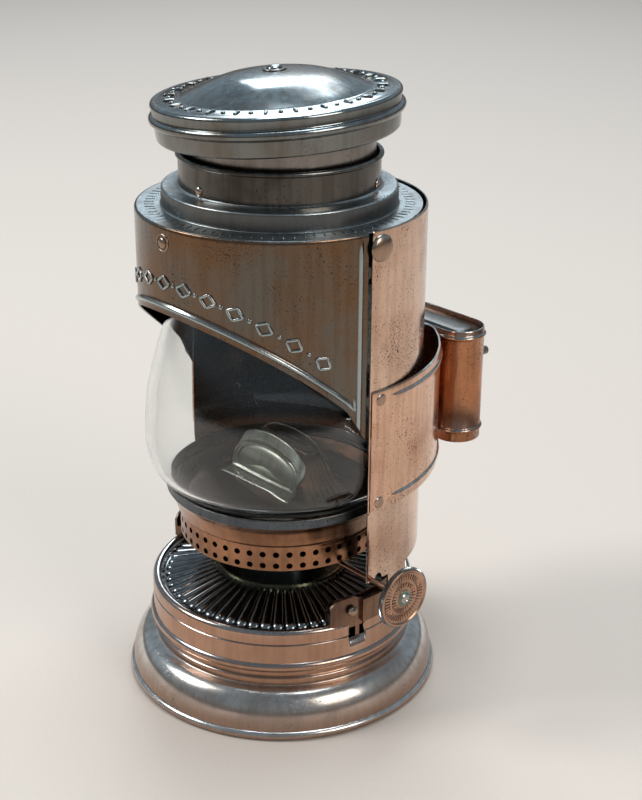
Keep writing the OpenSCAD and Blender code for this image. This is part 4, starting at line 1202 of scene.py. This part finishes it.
cap_line = [(SLEEVE_IN, SLEEVE_TOP), (34.6, SLEEVE_TOP)]
cap_line += arc(CAP_R - 2.9, CAP_Z0 + 1.1, 1.1, -95, 0, 8)
cap_line += [(CAP_R - 1.6, 184.8), (CAP_R - 1.5, 186.6)] + arc(CAP_R - 1.4, 188.3, 1.4, -80, 80, 12)
cap_line += [(CAP_R - 1.35, 190.2)] + arc(CAP_R - 2.0, CAP_Z1 - 1.2, 1.2, 0, 90, 7)
cap_line += [(35.2, CAP_Z1 - 0.15), (34.7, CAP_Z1 + 0.1), (28.9, CAP_Z1 + 0.15)]
cap_line += flowing([(28.5, CAP_Z1 + 0.25), (24.0, 195.6), (16.0, 198.4), (8.0, 199.6), (1.0, 199.8)], 6)
cap = new_piece("cap_sheet", on_cap(spin(walled(cap_line, 0.7))), cap_metal, sharp=40)
settle(cap, "cap", "cap_nickel", "cap_pan")
for name, item, count, start in (("cap_bars", soft_bar(3.8, 1.2, 0.7), 24, 0.0),
                                 ("cap_beads", soft_bar(1.5, 1.5, 0.65, pointed=1.0), 24, 7.5)):
    marks_bm = on_cap(ring_of(item, cap_metal, count, start=start, radius=31.7, height=CAP_Z1 + 0.1))
    marks = new_piece(name, marks_bm, cap_metal, sharp=60)
    settle(marks, "cap", "cap_nickel", "cap_pan")
sleeve_steel = plated("dark steel of the cap's sleeve", (0.24, 0.22, 0.20), (0.40, 0.42, 0.43),
                      (0.13, 0.10, 0.08), 0.26, pits=0.8)
sleeve_line = [(SLEEVE_IN, 171.6), (SLEEVE_R - 0.1, 171.6), (SLEEVE_R, 171.8),
               (SLEEVE_R, SLEEVE_TOP), (SLEEVE_IN, SLEEVE_TOP)]
sleeve = new_piece("cap_sleeve_tube", on_cap(spin(sleeve_line)), sleeve_steel)
settle(sleeve, "cap", "sleeve_steel", "cap_sleeve")
knob_line = [(0.0, 199.6), (3.6, 199.6)] + arc(3.3, 199.95, 0.3, 0, 90, 4) + [(2.45, 200.2), (2.4, 200.45)]
button_r = 2.4
knob_line += [(button_r * math.cos(math.radians(t)), 200.3 + math.sin(math.radians(t)))
              for t in range(20, 90, 14)]
knob = new_piece("cap_button", on_cap(spin(knob_line + [(0.0, 201.3)], 48)), cap_metal)
settle(knob, "cap", "cap_nickel", "cap_knob")

# ---- The studio --------------------------------------------------------------
# A plain pale floor, a soft key light above on the left, a broad softbox behind that the
# upward faces mirror, and a weak fill on the right.
floor_mat, tree, surface = new_material("pale paper floor")
point = node(tree, "ShaderNodeTexCoord").outputs["Object"]
paper = noise(tree, point, 900.0, 2.0)
mottled = blend_colour(tree, paper, (0.66, 0.61, 0.56, 1), (0.71, 0.66, 0.61, 1))
tree.links.new(mottled, surface["Base Color"])
surface["Roughness"].default_value = 0.8
floor_bm = bmesh.new()
bmesh.ops.create_circle(floor_bm, cap_ends=True, segments=96, radius=6.0)
floor = new_piece("studio_floor", floor_bm, floor_mat)

world = bpy.data.worlds.new("studio")
world.use_nodes = True
scene.world = world
sky = world.node_tree
direction = node(sky, "ShaderNodeTexCoord").outputs["Generated"]
height = node(sky, "ShaderNodeSeparateXYZ", {0: direction}).outputs[2]
warm_wall, pale_wall, ceiling = (0.34, 0.25, 0.19, 1), (0.74, 0.84, 0.92, 1), (0.50, 0.55, 0.60, 1)
low_sky = blend_colour(sky, step_between(sky, height, 0.0, 0.2), warm_wall, pale_wall)
full_sky = blend_colour(sky, step_between(sky, height, 0.25, 0.9), low_sky, ceiling)
sky.links.new(full_sky, sky.nodes["Background"].inputs["Color"])
sky.nodes["Background"].inputs["Strength"].default_value = 0.34


def softbox(name, spot, size, watts, colour):
    """A square soft light that faces the lantern."""
    data = bpy.data.lights.new(name, "AREA")
    data.shape = "SQUARE"
    data.size = size
    data.energy = watts
    data.color = colour
    lamp = bpy.data.objects.new(name, data)
    scene.collection.objects.link(lamp)
    lamp.location = spot
    lamp.rotation_euler = (Vector((0, 0, 0.1)) - Vector(spot)).to_track_quat("-Z", "Y").to_euler()


softbox("key light", (-0.9, -1.0, 1.3), 0.6, 15.0, (1.0, 0.97, 0.93))
softbox("overhead softbox", (-0.15, 0.25, 1.6), 0.7, 12.5, (0.93, 0.97, 1.0))
softbox("back softbox", (-1.35, 1.2, 1.45), 0.8, 11.0, (0.90, 0.96, 1.0))
softbox("right fill", (1.3, 0.1, 0.9), 0.7, 7.0, (1.0, 0.90, 0.80))

camera = bpy.data.objects.new("camera", bpy.data.cameras.new("camera"))
scene.collection.objects.link(camera)
camera.data.lens = 65.8
camera.data.sensor_width = 36.0
camera.data.clip_start = 0.01
camera.location = (0.3316, -0.2783, 0.2768)
aim = Vector((-0.688, 0.613, -0.388)).to_track_quat("-Z", "Y").to_matrix().to_4x4()
camera.rotation_euler = (aim @ Matrix.Rotation(math.radians(0.33), 4, "Z")).to_euler()
scene.camera = camera
scene.view_settings.view_transform = "Standard"
